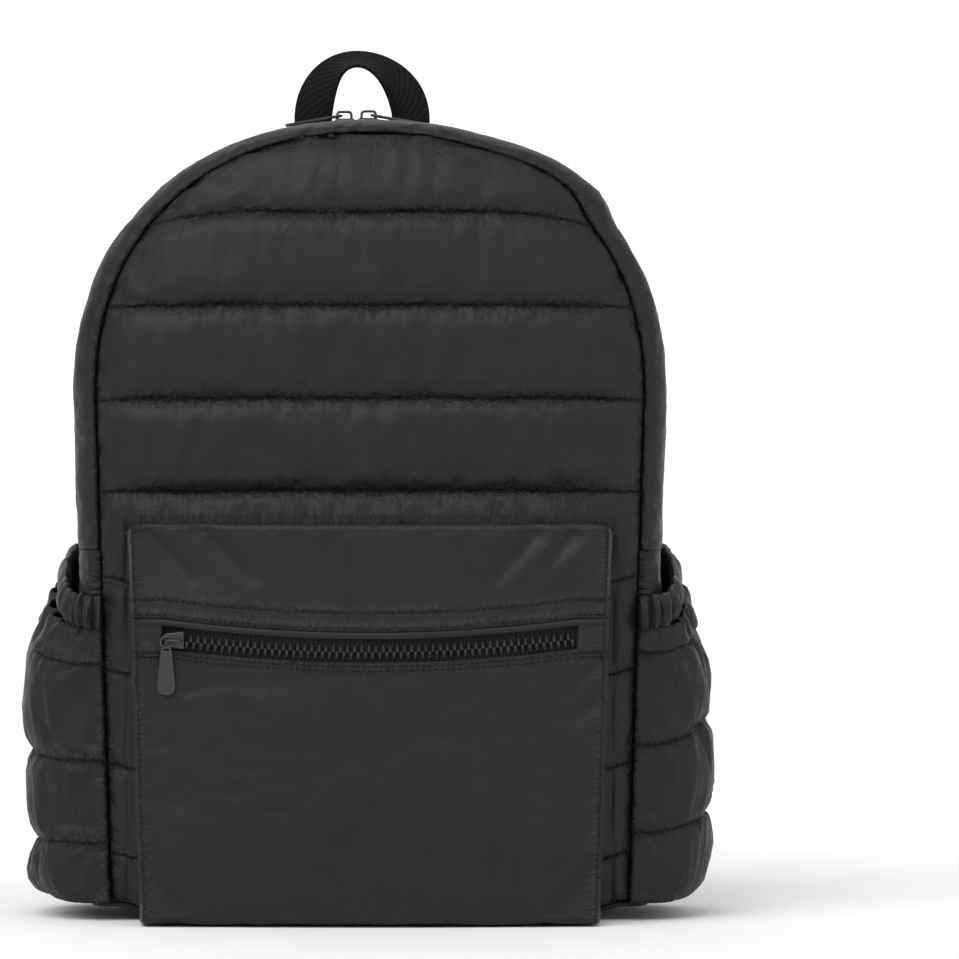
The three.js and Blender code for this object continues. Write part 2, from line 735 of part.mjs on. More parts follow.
// The chain: teeth of the two sides take turns along it
function frontTeeth() {
  const count = Math.round(((frontTeethEnd - frontTeethStart) / TOOTH_PITCH) * 2);
  const xs = [];
  for (let i = 0; i <= count; i += 1) xs.push(lerp(frontTeethStart, frontTeethEnd, i / count));
  const tip = TEETH_WIDTH / 2;
  const root = tip * 0.55;
  const upper = (index) => (index % 2 ? tip : root);
  const lower = (index) => (index % 2 ? -root : -tip);
  const setback = FRONT_TAPE_SETBACK - SEAM_GAP - TEETH_WALL;
  return frontZipSheet(xs, [lower, upper], setback, TEETH_WALL);
}

addPiece('front_zip_teeth', frontTeeth(), ZIP_TEETH());

const frontHolder = new THREE.Group();
const frontSliderHeight = zipMiddle(frontSliderPlace);
frontHolder.position.set(
  frontSliderPlace,
  pocketFace(frontSliderPlace, frontSliderHeight) + POCKET_WALL - SEAM_GAP,
  frontSliderHeight,
);
frontHolder.rotation.x = Math.PI / 2;
const frontSlider = new THREE.Mesh(sliderGeometry(), PAINTED_METAL());
frontSlider.name = 'front_slider';
const frontTab = new THREE.Group();
frontTab.position.set(CROWN_START + CROWN_BAR / 2, 0, SLIDER_PLATE + HINGE_HEIGHT);
frontTab.rotation.z = Math.PI / 2;
const frontPlate = new THREE.Mesh(pullGeometry(), PAINTED_METAL());
frontPlate.name = 'front_puller';
frontPlate.position.x = -(PULL_HOLE - CROWN_WIDTH / 2 - SEAM_GAP);
frontTab.add(frontPlate);
frontHolder.add(frontSlider, frontTab);
bag.add(frontHolder);

// Side pockets, open at the top, and the gathered bands round their mouths

const POCKET_ANGLES = [0, 5, 13, 25, 40, 57, 74, 90];
const HALF_SPAN = BODY_DEPTH / 2 + SIDE_POCKET_SEAM;

// A point of the plan curve: reach beyond the body's side, from the front seam to the back one
function pouchPoint(side, angle, z, reach, wall) {
  const power = 2 / SIDE_POCKET_POWER;
  const out = Math.sin(radians(angle)) ** power;
  const along = Math.cos(radians(angle));
  const x = halfWidthAt(z) - EDGE_ROLL + (reach + EDGE_ROLL - wall) * out;
  const span = HALF_SPAN + SIDE_POCKET_WALL - Math.min(wall, SIDE_POCKET_WALL);
  const y = -span * Math.sign(along) * Math.abs(along) ** power;
  return new THREE.Vector3(side * x, y, z);
}

const pouchAngles = [...POCKET_ANGLES, ...POCKET_ANGLES.slice(0, -1).map((a) => 180 - a).reverse()];

function pouchReach(z) {
  const share = (z - SIDE_POCKET_FOOT) / (SIDE_POCKET_TOP - SIDE_POCKET_FOOT);
  const low = Math.sin(clamp(share / 0.3, 0, 1) * Math.PI / 2);
  const high = (1 - Math.cos(clamp((share - 0.7) / 0.3, 0, 1) * Math.PI)) / 2;
  return lerp(lerp(SIDE_POCKET_FOOT_REACH, SIDE_POCKET_REACH, low), BAND_REACH, high);
}

function pouchRows() {
  const lines = [SIDE_POCKET_FOOT];
  const top = SIDE_POCKET_TOP;
  const first = FIRST_STITCH + EDGE_ROLL / 2;
  for (let z = first; z < top - CHANNEL_PITCH / 3; z += CHANNEL_PITCH) lines.push(z);
  lines.push(top);
  const rows = [];
  for (let i = 0; i + 1 < lines.length; i += 1) {
    for (let k = 0; k < 3; k += 1) {
      rows.push({ z: lerp(lines[i], lines[i + 1], k / 3), share: k / 3 });
    }
  }
  rows.push({ z: top, share: 1 });
  return rows;
}

function sidePocket(side) {
  const rows = pouchRows();
  const outer = rows.map((row) => pouchAngles.map((angle) => {
    const puff = SIDE_POCKET_PUFF * Math.sin(Math.PI * row.share) ** PUFF_POWER;
    return pouchPoint(side, angle, row.z, pouchReach(row.z) + puff * Math.sin(radians(angle)), 0);
  }));
  const inner = rows.map((row) => pouchAngles.map(
    (angle) => pouchPoint(side, angle, row.z, pouchReach(row.z), SIDE_POCKET_WALL),
  ));
  return sheetSolid(outer, inner);
}

// Round heights of the band's section, as shares of its height, with how full it is there
const BAND_ROWS = [
  { height: 0, full: 0.2 },
  { height: 0.25, full: 0.85 },
  { height: 0.55, full: 1 },
  { height: 0.85, full: 0.7 },
  { height: 1, full: 0 },
];

function pocketBand(side) {
  const bottom = SIDE_POCKET_TOP + SEAM_GAP;
  const steps = GATHERS * 3;
  const angles = [];
  for (let i = 0; i <= steps; i += 1) angles.push((180 * i) / steps);
  const outer = BAND_ROWS.map((row) => angles.map((angle, index) => {
    const z = bottom + BAND_HEIGHT * row.height;
    const gather = index % 3 === 0 ? -0.6 : 1;
    const reach = BAND_REACH + BAND_PUFF * (row.full + gather * Math.sin(radians(angle)));
    return pouchPoint(side, angle, z, reach, 0);
  }));
  const inner = BAND_ROWS.map((row) => angles.map((angle) => {
    const z = bottom + BAND_HEIGHT * row.height;
    return pouchPoint(side, angle, z, BAND_REACH, BAND_WALL);
  }));
  return sheetSolid(outer, inner);
}

[['left', -1], ['right', 1]].forEach(([name, side]) => {
  addPiece(`side_pocket_${name}`, sidePocket(side), NYLON());
  addPiece(`side_pocket_band_${name}`, pocketBand(side), NYLON());
});

// Carry handle: webbing over an arch, its legs facing front and its top turned towards the back

function carryHandle() {
  const sewnDepth = BACK_SEAM + 2 * SEAM_GAP + WEBBING_WALL / 2;
  const legFoot = BODY_HEIGHT - HANDLE_SEWN;
  const springing = BODY_HEIGHT + HANDLE_LEG_RISE;
  const topMiddle = BODY_HEIGHT + HANDLE_RISE - 2 * WEBBING_WALL;
  const rise = topMiddle - springing;
  const half = HANDLE_LEG_SPACING / 2;
  const centres = [legFoot, lerp(legFoot, springing, 0.5)].map((z) => ({ x: -half, z, turn: 0 }));
  const steps = 16;
  for (let i = 0; i <= steps; i += 1) {
    const angle = Math.PI * (1 - i / steps);
    const turn = Math.sin(angle) ** 1.3;
    centres.push({ x: half * Math.cos(angle), z: springing + rise * Math.sin(angle), turn });
  }
  centres.push(...centres.slice(0, 2).map((c) => ({ ...c, x: half })).reverse());
  const rings = centres.map((centre, index) => {
    const before = centres[Math.max(index - 1, 0)];
    const after = centres[Math.min(index + 1, centres.length - 1)];
    const along = new THREE.Vector3(after.x - before.x, 0, after.z - before.z).normalize();
    const across = new THREE.Vector3(along.z, 0, -along.x);
    const turn = radians(HANDLE_TWIST * centre.turn);
    const wide = across.clone().multiplyScalar(Math.cos(turn));
    wide.y = -Math.sin(turn);
    const thick = new THREE.Vector3().crossVectors(along, wide).normalize();
    const middle = new THREE.Vector3(centre.x + HANDLE_OFFSET, sewnDepth, centre.z);
    return [[-1, -1], [1, -1], [1, 1], [-1, 1]].map(([w, t]) => middle.clone()
      .addScaledVector(wide, (w * WEBBING_WIDTH) / 2)
      .addScaledVector(thick, (t * WEBBING_WALL) / 2));
  });
  return loftSolid(rings);
}

addPiece('carry_handle', carryHandle(), WEBBING());

// Shoulder straps. Each row is a place down the strap: share of its drop, bow off the back
// as a share of the full bow, and share of the way from the top spacing to the end spacing
const STRAP_ROUTE = [
  { drop: 0, bow: 0, out: 0 },
  { drop: 0.05, bow: 0.06, out: 0.02 },
  { drop: 0.14, bow: 0.4, out: 0.07 },
  { drop: 0.26, bow: 0.8, out: 0.17 },
  { drop: 0.4, bow: 1, out: 0.34 },
  { drop: 0.55, bow: 0.98, out: 0.54 },
  { drop: 0.7, bow: 0.76, out: 0.74 },
  { drop: 0.85, bow: 0.5, out: 0.9 },
  { drop: 1, bow: 0.3, out: 1 },
];

function strapCentre(side, row, wall) {
  const z = lerp(STRAP_TOP, STRAP_PAD_END, row.drop);
  const x = lerp(STRAP_TOP_SPACING, STRAP_END_SPACING, row.out) / 2;
  const y = backSurface(x, z) + SEAM_GAP + STRAP_STANDOFF + wall / 2 + STRAP_BOW * row.bow;
  return new THREE.Vector3(side * x, y, z);
}

// A ribbon through centres: flat section with cut corners, its width across x and the run
function ribbonSolid(centres, widthAt, wall, corner) {
  const rings = centres.map((centre, index) => {
    const before = centres[Math.max(index - 1, 0)];
    const after = centres[Math.min(index + 1, centres.length - 1)];
    const along = after.clone().sub(before).normalize();
    const thick = new THREE.Vector3(0, 1, 0).addScaledVector(along, -along.y).normalize();
    const wide = new THREE.Vector3().crossVectors(thick, along);
    const w = widthAt(index) / 2;
    const t = wall / 2;
    const section = [
      [-w + corner, -t], [w - corner, -t], [w, -t + corner / 2], [w, t - corner / 2],
      [w - corner, t], [-w + corner, t], [-w, t - corner / 2], [-w, -t + corner / 2],
    ];
    return section.map(([a, b]) => centre.clone().addScaledVector(wide, a).addScaledVector(thick, b));
  });
  return loftSolid(rings);
}

// A ladder-lock adjuster: a plate with two slots, standing in the plane of the strap
function adjusterGeometry() {
  const shape = roundedRectangle(ADJUSTER_WIDTH, ADJUSTER_LENGTH, ADJUSTER_CORNER);
  for (const place of [-1, 1]) {
    const slot = new THREE.Path();
    const half = STRAP_WEBBING_WIDTH / 2;
    const middle = (place * ADJUSTER_SLOT_SPACING) / 2;
    slot.moveTo(-half, middle - ADJUSTER_SLOT / 2);
    slot.lineTo(half, middle - ADJUSTER_SLOT / 2);
    slot.lineTo(half, middle + ADJUSTER_SLOT / 2);
    slot.lineTo(-half, middle + ADJUSTER_SLOT / 2);
    slot.closePath();
    shape.holes.push(slot);
  }
  const plate = extrudeFlat(shape, ADJUSTER_WALL, 3);
  plate.translate(0, 0, -ADJUSTER_WALL / 2);
  return plate;
}

function addStrap(name, side) {
  const pad = STRAP_ROUTE.map((row) => strapCentre(side, row, STRAP_WALL));
  const widthAt = (index) => STRAP_WIDTH * (index < 1 || index > pad.length - 2 ? STRAP_END_SHARE : 1);
  addPiece(`strap_pad_${name}`, ribbonSolid(pad, widthAt, STRAP_WALL, STRAP_EDGE), NYLON());

  // The lower run lies on one straight line from the pad's end to the anchor on the back's foot
  const start = pad[pad.length - 1];
  const anchorX = halfWidthAt(0) - PANEL_INSET - STRAP_WEBBING_WIDTH;
  const anchorTop = ANCHOR_FOOT + ANCHOR_HEIGHT;
  const anchorInner = anchorX - STRAP_WEBBING_WIDTH / 2 - ANCHOR_FLARE;
  const anchorY = backSurface(anchorInner, anchorTop) + SEAM_GAP;
  const clear = anchorY + ANCHOR_WALL + SEAM_GAP + STRAP_WEBBING_WALL / 2;
  const end = new THREE.Vector3(side * anchorX, clear, anchorTop - STRAP_WEBBING_WIDTH / 2);
  const run = end.clone().sub(start);
  const total = run.length();
  const at = (distance) => start.clone().addScaledVector(run, distance / total);
  const webbing = (from, to) => ribbonSolid(
    [at(from), at(to)],
    () => STRAP_WEBBING_WIDTH,
    STRAP_WEBBING_WALL,
    STRAP_WEBBING_EDGE,
  );
  const lockStart = SEAM_GAP + KEEPER_LENGTH + SEAM_GAP;
  const lockEnd = lockStart + ADJUSTER_LENGTH;
  const padFace = (STRAP_WALL / 2) * Math.abs(run.y / total) * 2 + SEAM_GAP;
  addPiece(`strap_keeper_${name}`, webbing(padFace, lockStart - SEAM_GAP), WEBBING());
  addPiece(`strap_webbing_${name}`, webbing(lockEnd + SEAM_GAP, total), WEBBING());

  const lock = addPiece(`strap_adjuster_${name}`, adjusterGeometry(), PLASTIC());
  const down = run.clone().normalize();
  const thick = new THREE.Vector3(0, 1, 0).addScaledVector(down, -down.y).normalize();
  const wide = new THREE.Vector3().crossVectors(down, thick);
  lock.quaternion.setFromRotationMatrix(new THREE.Matrix4().makeBasis(wide, down, thick));
  lock.position.copy(at((lockStart + lockEnd) / 2));

  const tab = new THREE.Shape();
  const half = STRAP_WEBBING_WIDTH / 2;
  tab.moveTo(-half - ANCHOR_FLARE, 0);
  tab.lineTo(half + ANCHOR_FLARE, 0);
  tab.lineTo(half, ANCHOR_HEIGHT);
  tab.lineTo(-half, ANCHOR_HEIGHT);
  const anchor = addPiece(`strap_anchor_${name}`, extrudeFlat(tab, ANCHOR_WALL), NYLON());
  anchor.rotation.x = Math.PI / 2;
  anchor.position.set(side * anchorX, anchorY + ANCHOR_WALL, ANCHOR_FOOT);
}

addStrap('left', -1);
addStrap('right', 1);

// The origin: middle of the bag's outer box, on the ground
bag.updateMatrixWorld(true);
const box = new THREE.Box3().setFromObject(bag);
const centre = box.getCenter(new THREE.Vector3());
bag.position.set(-centre.x, -centre.y, -box.min.z);
bag.updateMatrixWorld(true);

export default bag;
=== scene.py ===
import json
import math

import bmesh
import bpy
from mathutils import Matrix, Vector, noise


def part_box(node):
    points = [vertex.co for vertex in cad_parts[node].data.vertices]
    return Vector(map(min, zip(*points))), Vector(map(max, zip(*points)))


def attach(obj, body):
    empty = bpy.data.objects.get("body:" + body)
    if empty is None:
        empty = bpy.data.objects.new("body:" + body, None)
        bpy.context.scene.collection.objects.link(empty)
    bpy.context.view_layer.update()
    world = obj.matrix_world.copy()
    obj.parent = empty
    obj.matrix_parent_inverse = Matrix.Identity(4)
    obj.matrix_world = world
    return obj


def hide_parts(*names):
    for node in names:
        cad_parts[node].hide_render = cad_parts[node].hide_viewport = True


# %% [markdown]
# # A quilted puffer backpack
# The bag is sewn from padded nylon panels. The frame holds each panel as a plain closed solid of
# the right size. This lesson dresses every one of them: it bends a fine grid into each panel,
# lets Blender's cloth solver crumple it between its seams, and gives it a wall and a fabric.

# %% Load the frame
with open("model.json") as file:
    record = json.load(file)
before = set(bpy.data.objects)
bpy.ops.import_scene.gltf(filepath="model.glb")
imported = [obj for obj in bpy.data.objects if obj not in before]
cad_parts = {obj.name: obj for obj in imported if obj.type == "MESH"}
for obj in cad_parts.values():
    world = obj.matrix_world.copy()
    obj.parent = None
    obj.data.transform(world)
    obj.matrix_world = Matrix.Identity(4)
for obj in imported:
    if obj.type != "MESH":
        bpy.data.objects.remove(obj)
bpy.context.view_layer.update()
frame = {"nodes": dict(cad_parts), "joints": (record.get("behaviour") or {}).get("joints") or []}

# %% [markdown]
# ## Sizes
# All shapes below are worked out in millimetres from the boxes of the frame's nodes and a few
# sizes of the bag itself, and are scaled to metres when a mesh is made.

# %% Sizes of the body
MM = 0.001


def box_mm(node):
    low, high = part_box(node)
    return low / MM, high / MM


gusset_low, gusset_high = box_mm("gusset_front")
back_band_low, back_band_high = box_mm("gusset_back")
HALF_WIDTH = gusset_high.x
HEIGHT = gusset_high.z
ZIP_START = gusset_low.z
FRONT_SEAM = gusset_low.y
BACK_SEAM = back_band_high.y
WINDOW_FRONT = gusset_high.y
WINDOW_BACK = back_band_low.y
ZIP_LINE = (WINDOW_FRONT + WINDOW_BACK) / 2
PANEL_FOOT = box_mm("front_panel")[0].z
ARCH_START = 284.0
ARCH_POWER = 2.2
SIDE_TAPER = 0.05
EDGE_ROLL = 12.0
TOP_ROLL_SHARE = 0.6
FRONT_ROLL_DEPTH = 20.0
BACK_ROLL_DEPTH = 15.0
SEAM_GAP = 0.3
PANEL_INSET = EDGE_ROLL + SEAM_GAP / TOP_ROLL_SHARE
CHANNEL = 50.0
FIRST_STITCH = 32.0
PUFF = 7.0
FRONT_BULGE = 16.0
BACK_BULGE = 6.0
FOOT_ROUNDING = 40.0
INSIDE = Vector((0.0, 0.0, 0.2))
print("body", round(2 * HALF_WIDTH), "x", round(BACK_SEAM - FRONT_SEAM), "x", round(HEIGHT), "mm")

# %% [markdown]
# ## Camera, floor and light
# The photograph was taken with a long lens, level with the middle of the bag, on white. The
# lens is worked out from how many millimetres one pixel covers at the bag's middle, and the
# camera's shift puts the bag left of the middle of the picture, where the photograph has it.

# %% Camera
PHOTO_WIDTH_PX = 959
MM_PER_PX = 0.546
CAMERA_DISTANCE = 4.0
CAMERA_ELEVATION = 1.3
AIM_HEIGHT = 0.230
AIM_PX = (370.0, 492.0)
SENSOR_MM = 36.0


def make_camera():
    data = bpy.data.cameras.new("camera")
    data.sensor_width = SENSOR_MM
    data.lens = SENSOR_MM * CAMERA_DISTANCE / (PHOTO_WIDTH_PX * MM_PER_PX * MM)
    data.shift_x = 0.5 - AIM_PX[0] / PHOTO_WIDTH_PX
    data.shift_y = AIM_PX[1] / PHOTO_WIDTH_PX - 0.5
    camera = bpy.data.objects.new("camera", data)
    bpy.context.scene.collection.objects.link(camera)
    tilt = math.radians(CAMERA_ELEVATION)
    rise = CAMERA_DISTANCE * math.sin(tilt)
    camera.location = (0, -CAMERA_DISTANCE * math.cos(tilt), AIM_HEIGHT + rise)
    camera.rotation_euler = (math.pi / 2 - tilt, 0, 0)
    bpy.context.scene.camera = camera
    print("lens", round(data.lens), "mm, shift", round(data.shift_x, 3), round(data.shift_y, 3))


make_camera()

# %% [markdown]
# Materials come next, because the floor needs one. Colours are written as the hex values that a
# picture editor shows. Blender's shaders work in linear light, so one function converts them.
# Another small function adds a node, sets its values and wires its inputs.

# %% Helpers for materials


def linear(hex_colour):
    parts = [int(hex_colour[i:i + 2], 16) / 255 for i in (1, 3, 5)]
    return [p / 12.92 if p <= 0.04045 else ((p + 0.055) / 1.055) ** 2.4 for p in parts] + [1.0]


def add_node(tree, kind, values=None, wires=None):
    """Adds a node; values sets inputs or settings by name, wires links inputs by name or number."""
    made = tree.nodes.new(kind)
    for name, value in (values or {}).items():
        if isinstance(name, int) or name in made.inputs:
            made.inputs[name].default_value = value
        else:
            setattr(made, name, value)
    for name, source in (wires or {}).items():
        tree.links.new(source, made.inputs[name])
    return made


def start_material(name):
    material = bpy.data.materials.new(name)
    material.use_nodes = True
    tree = material.node_tree
    return material, tree, tree.nodes["Principled BSDF"]


def two_tones(tree, fac, low, high, dark, light):
    """A colour ramp between two hex colours, over the part of the pattern from low to high."""
    ramp = add_node(tree, "ShaderNodeValToRGB", {}, {"Fac": fac})
    for element, place, tone in zip(ramp.color_ramp.elements, (low, high), (dark, light)):
        element.position = place
        element.color = linear(tone)
    return ramp.outputs["Color"]


# %% [markdown]
# ### Nylon taffeta
# The shell is a calendered, down-proof nylon taffeta: a dense plain weave, rolled smooth between
# hot cylinders so that down can't get out. The eye sees a dark satin grey with soft, wide
# highlights and faint slubs along the threads. Beside each line of stitches the cloth is crimped.
# The real threads are about 0.1 mm apart, too fine for the picture, so the weave is drawn at
# 1.6 mm, coarse enough to break up the highlights. Two numbers that every panel carries at
# its points, level_seam and upright_seam, say how near a line of stitches is. The crimps grow
# with them, and so does a painted shade along each line's groove, which also stands for its dark
# thread.

# %% Nylon taffeta
WEAVE_MM = 1.6
CRINKLE_MM = 14.0
CRIMP_ALONG_MM = 2.6
CRIMP_ACROSS_MM = 7.0
# Near a line of stitches the cloth is darkened: painted shade in the seam's groove, with the dark
# thread at its middle. These are the nearnesses where it starts and where it is full.
SEAM_SHADE_FADE = 0.6
SEAM_SHADE_FULL = 0.92


def wave_scale(pitch_mm):
    """A wave texture of scale 1 repeats every pi / 10 m, so this one repeats every pitch_mm."""
    return 100 * math.pi / pitch_mm


def crimps(tree, cloth, attribute, scale):
    """Small folds that stand across a seam, faded by the seam's own attribute."""
    near = add_node(
        tree, "ShaderNodeAttribute", {"attribute_type": "GEOMETRY", "attribute_name": attribute})
    turned = add_node(
        tree, "ShaderNodeMapping", {"Scale": scale}, {"Vector": cloth.outputs["UV"]})
    folds = add_node(
        tree, "ShaderNodeTexNoise", {"Scale": 1.0, "Detail": 2.0, "Distortion": 0.8},
        {"Vector": turned.outputs["Vector"]})
    faded = add_node(
        tree, "ShaderNodeMath", {"operation": "MULTIPLY"},
        {0: near.outputs["Fac"], 1: folds.outputs["Fac"]})
    return near.outputs["Fac"], faded.outputs["Value"]


def nylon_taffeta(name, dark, light, groove, roughness):
    material, tree, shader = start_material(name)
    cloth = add_node(tree, "ShaderNodeUVMap", {"uv_map": "cloth"})
    place = add_node(tree, "ShaderNodeTexCoord")
    stretched = add_node(
        tree, "ShaderNodeMapping", {"Scale": (40, 900, 1)}, {"Vector": cloth.outputs["UV"]})
    slubs = add_node(
        tree, "ShaderNodeTexNoise", {"Scale": 1.0, "Detail": 2.0},
        {"Vector": stretched.outputs["Vector"]})
    crinkle = add_node(
        tree, "ShaderNodeTexNoise",
        {"Scale": 1000 / CRINKLE_MM, "Detail": 4.0, "Roughness": 0.5, "Distortion": 0.4},
        {"Vector": place.outputs["Object"]})
    threads = []
    for direction in ("X", "Y"):
        thread = add_node(
            tree, "ShaderNodeTexWave",
            {"Scale": wave_scale(WEAVE_MM), "bands_direction": direction, "Distortion": 0.4},
            {"Vector": cloth.outputs["UV"]})
        threads.append(thread.outputs["Fac"])
    weave = add_node(
        tree, "ShaderNodeMath", {"operation": "MULTIPLY"}, {0: threads[0], 1: threads[1]})
    along, across = 1000 / CRIMP_ALONG_MM, 1000 / CRIMP_ACROSS_MM
    level, level_folds = crimps(tree, cloth, "level_seam", (along, across, 1))
    upright, upright_folds = crimps(tree, cloth, "upright_seam", (across, along, 1))
    folds = add_node(
        tree, "ShaderNodeMath", {"operation": "ADD"}, {0: level_folds, 1: upright_folds})
    seams = add_node(tree, "ShaderNodeMath", {"operation": "MAXIMUM"}, {0: level, 1: upright})

    tint = add_node(
        tree, "ShaderNodeMix", {"data_type": "FLOAT", "Factor": 0.4},
        {2: crinkle.outputs["Fac"], 3: slubs.outputs["Fac"]})
    face = two_tones(tree, tint.outputs[0], 0.3, 0.7, dark, light)
    # Mixes the cloth towards the groove colour near each line of stitches: painted shade in the
    # groove, and the dark thread.
    seam_shade = add_node(
        tree, "ShaderNodeMapRange", {"From Min": SEAM_SHADE_FADE, "From Max": SEAM_SHADE_FULL},
        {"Value": seams.outputs[0]})
    shaded = add_node(
        tree, "ShaderNodeMix", {"data_type": "RGBA", 7: linear(groove)},
        {0: seam_shade.outputs["Result"], 6: face})
    tree.links.new(shaded.outputs[2], shader.inputs["Base Color"])
    rough = add_node(
        tree, "ShaderNodeMapRange",
        {"From Min": 0.3, "From Max": 0.7, "To Min": roughness - 0.05, "To Max": roughness + 0.05},
        {"Value": slubs.outputs["Fac"]})
    tree.links.new(rough.outputs["Result"], shader.inputs["Roughness"])
    fine = add_node(
        tree, "ShaderNodeBump", {"Strength": 0.2, "Distance": 0.0001},
        {"Height": weave.outputs["Value"]})
    soft = add_node(
        tree, "ShaderNodeBump", {"Strength": 0.3, "Distance": 0.001},
        {"Height": crinkle.outputs["Fac"], "Normal": fine.outputs["Normal"]})
    bump = add_node(
        tree, "ShaderNodeBump", {"Strength": 1.0, "Distance": 0.003},
        {"Height": folds.outputs["Value"], "Normal": soft.outputs["Normal"]})
    tree.links.new(bump.outputs["Normal"], shader.inputs["Normal"])
    shader.inputs["IOR"].default_value = 1.53
    shader.inputs["Specular IOR Level"].default_value = 0.2
    shader.inputs["Sheen Weight"].default_value = 0.03
    shader.inputs["Sheen Roughness"].default_value = 0.4
    return material


# The third colour, #050505, is the painted shade along the lines of stitches.
SHELL_NYLON = nylon_taffeta("calendered_nylon_taffeta", "#1a1a1a", "#1f1f1f", "#050505", 0.5)
BACK_NYLON = nylon_taffeta("matte_back_nylon", "#171717", "#1c1c1c", "#050505", 0.7)
print("weave drawn at", WEAVE_MM, "mm, crimps at", CRIMP_ALONG_MM, "mm")

# %% [markdown]
# ### Webbing and zip tape
# Handles are polypropylene webbing in a twill weave, so fine ribs cross it at 45 degrees. The zip
# tape is polyester in a herringbone, whose ribs run across. Both scatter light, so they look
# blacker and flatter than the nylon. The twill is drawn at 3 mm and the tape's ribs at 2.4 mm,
# about twice as coarse as the real ones, so that they show.

# %% Webbing and tape
TWILL_MM = 3.0
TAPE_RIB_MM = 2.4
FIBRES_PER_M = 1400.0


def ribbed_weave(name, dark, light, turn, pitch_mm, depth):
    material, tree, shader = start_material(name)
    cloth = add_node(tree, "ShaderNodeUVMap", {"uv_map": "cloth"})
    turned = add_node(
        tree, "ShaderNodeMapping", {"Rotation": (0, 0, math.radians(turn))},
        {"Vector": cloth.outputs["UV"]})
    ribs = add_node(
        tree, "ShaderNodeTexWave",
        {"Scale": wave_scale(pitch_mm), "Distortion": 0.5, "Detail": 2.0,
         "bands_direction": "X"},
        {"Vector": turned.outputs["Vector"]})
    fibres = add_node(
        tree, "ShaderNodeTexNoise", {"Scale": FIBRES_PER_M, "Detail": 3.0},
        {"Vector": cloth.outputs["UV"]})
    mixed = add_node(
        tree, "ShaderNodeMix", {"data_type": "FLOAT", "Factor": 0.3},
        {2: ribs.outputs["Fac"], 3: fibres.outputs["Fac"]})
    tone = two_tones(tree, mixed.outputs[0], 0.2, 0.8, dark, light)
    tree.links.new(tone, shader.inputs["Base Color"])
    bump = add_node(
        tree, "ShaderNodeBump", {"Strength": 0.7, "Distance": depth}, {"Height": mixed.outputs[0]})
    tree.links.new(bump.outputs["Normal"], shader.inputs["Normal"])
    shader.inputs["Roughness"].default_value = 0.85
    shader.inputs["IOR"].default_value = 1.49
    shader.inputs["Specular IOR Level"].default_value = 0.2
    return material


WEBBING = ribbed_weave("polypropylene_twill_webbing", "#040404", "#131313", 45, TWILL_MM, 0.0003)
ZIP_TAPE = ribbed_weave("polyester_zip_tape", "#151515", "#202020", 0, TAPE_RIB_MM, 0.0002)

# %% [markdown]
# ### Moulded acetal and enamelled zinc
# Zip teeth and strap adjusters are moulded in acetal, a slippery plastic with an even half gloss.
# Sliders and pull tabs are die-cast zinc under a dark enamel, smoother and brighter on the rims.

# %% Teeth, buckles and sliders
GRAIN_MM = 0.8


def moulded(name, dark, light, roughness, ior, metal=0.0):
    material, tree, shader = start_material(name)
    place = add_node(tree, "ShaderNodeTexCoord")
    grain = add_node(
        tree, "ShaderNodeTexNoise", {"Scale": 1000 / GRAIN_MM, "Detail": 3.0},
        {"Vector": place.outputs["Object"]})
    tone = two_tones(tree, grain.outputs["Fac"], 0.35, 0.65, dark, light)
    tree.links.new(tone, shader.inputs["Base Color"])
    rough = add_node(
        tree, "ShaderNodeMapRange", {"To Min": roughness - 0.05, "To Max": roughness + 0.05},
        {"Value": grain.outputs["Fac"]})
    tree.links.new(rough.outputs["Result"], shader.inputs["Roughness"])
    bump = add_node(
        tree, "ShaderNodeBump", {"Strength": 0.15, "Distance": 0.0001},
        {"Height": grain.outputs["Fac"]})
    tree.links.new(bump.outputs["Normal"], shader.inputs["Normal"])
    shader.inputs["Metallic"].default_value = metal
    shader.inputs["IOR"].default_value = ior
    return material


ACETAL_TEETH = moulded("acetal_teeth", "#161616", "#1e1e1e", 0.3, 1.48)
ACETAL_BUCKLE = moulded("acetal_buckle", "#121212", "#181818", 0.42, 1.48)
ENAMELLED_ZINC = moulded("enamelled_zinc", "#2c2c2c", "#363636", 0.32, 1.5, 0.3)
THREAD = moulded("polyester_thread", "#070707", "#0d0d0d", 0.7, 1.5)

# %% [markdown]
# ## Floor and light
# A white sweep stands in for the photographer's table and background. Soft light comes from a
# wide source high on the left, a weaker one on the right, one behind, and a little from all
# round.

# %% Floor and lamps
SWEEP_HALF = 30.0


def make_floor():
    material, _, shader = start_material("white_paper_sweep")
    shader.inputs["Base Color"].default_value = linear("#f4f4f4")
    shader.inputs["Roughness"].default_value = 0.9
    bm = bmesh.new()
    bmesh.ops.create_grid(bm, x_segments=1, y_segments=1, size=SWEEP_HALF)
    back = [edge for edge in bm.edges if all(v.co.y > SWEEP_HALF - 0.1 for v in edge.verts)]
    made = bmesh.ops.extrude_edge_only(bm, edges=back)["geom"]
    bmesh.ops.translate(
        bm, vec=(0, 0, 6.0), verts=[g for g in made if isinstance(g, bmesh.types.BMVert)])
    bend = [e for e in back if all(abs(v.co.z) < 0.01 for v in e.verts)]
    bmesh.ops.bevel(
        bm, geom=bend, offset=1.5, segments=12, profile=0.5, affect="EDGES", material=-1)
    mesh = bpy.data.meshes.new("floor")
    bm.to_mesh(mesh)
    bm.free()
    mesh.materials.append(material)
    mesh.shade_smooth()
    floor = bpy.data.objects.new("floor", mesh)
    bpy.context.scene.collection.objects.link(floor)


def add_sun(name, source, spread, strength):
    data = bpy.data.lights.new(name, "SUN")
    data.angle = math.radians(spread)
    data.energy = strength
    lamp = bpy.data.objects.new(name, data)
    lamp.location = source
    lamp.rotation_euler = (-Vector(source)).to_track_quat("-Z", "Y").to_euler()
    bpy.context.scene.collection.objects.link(lamp)


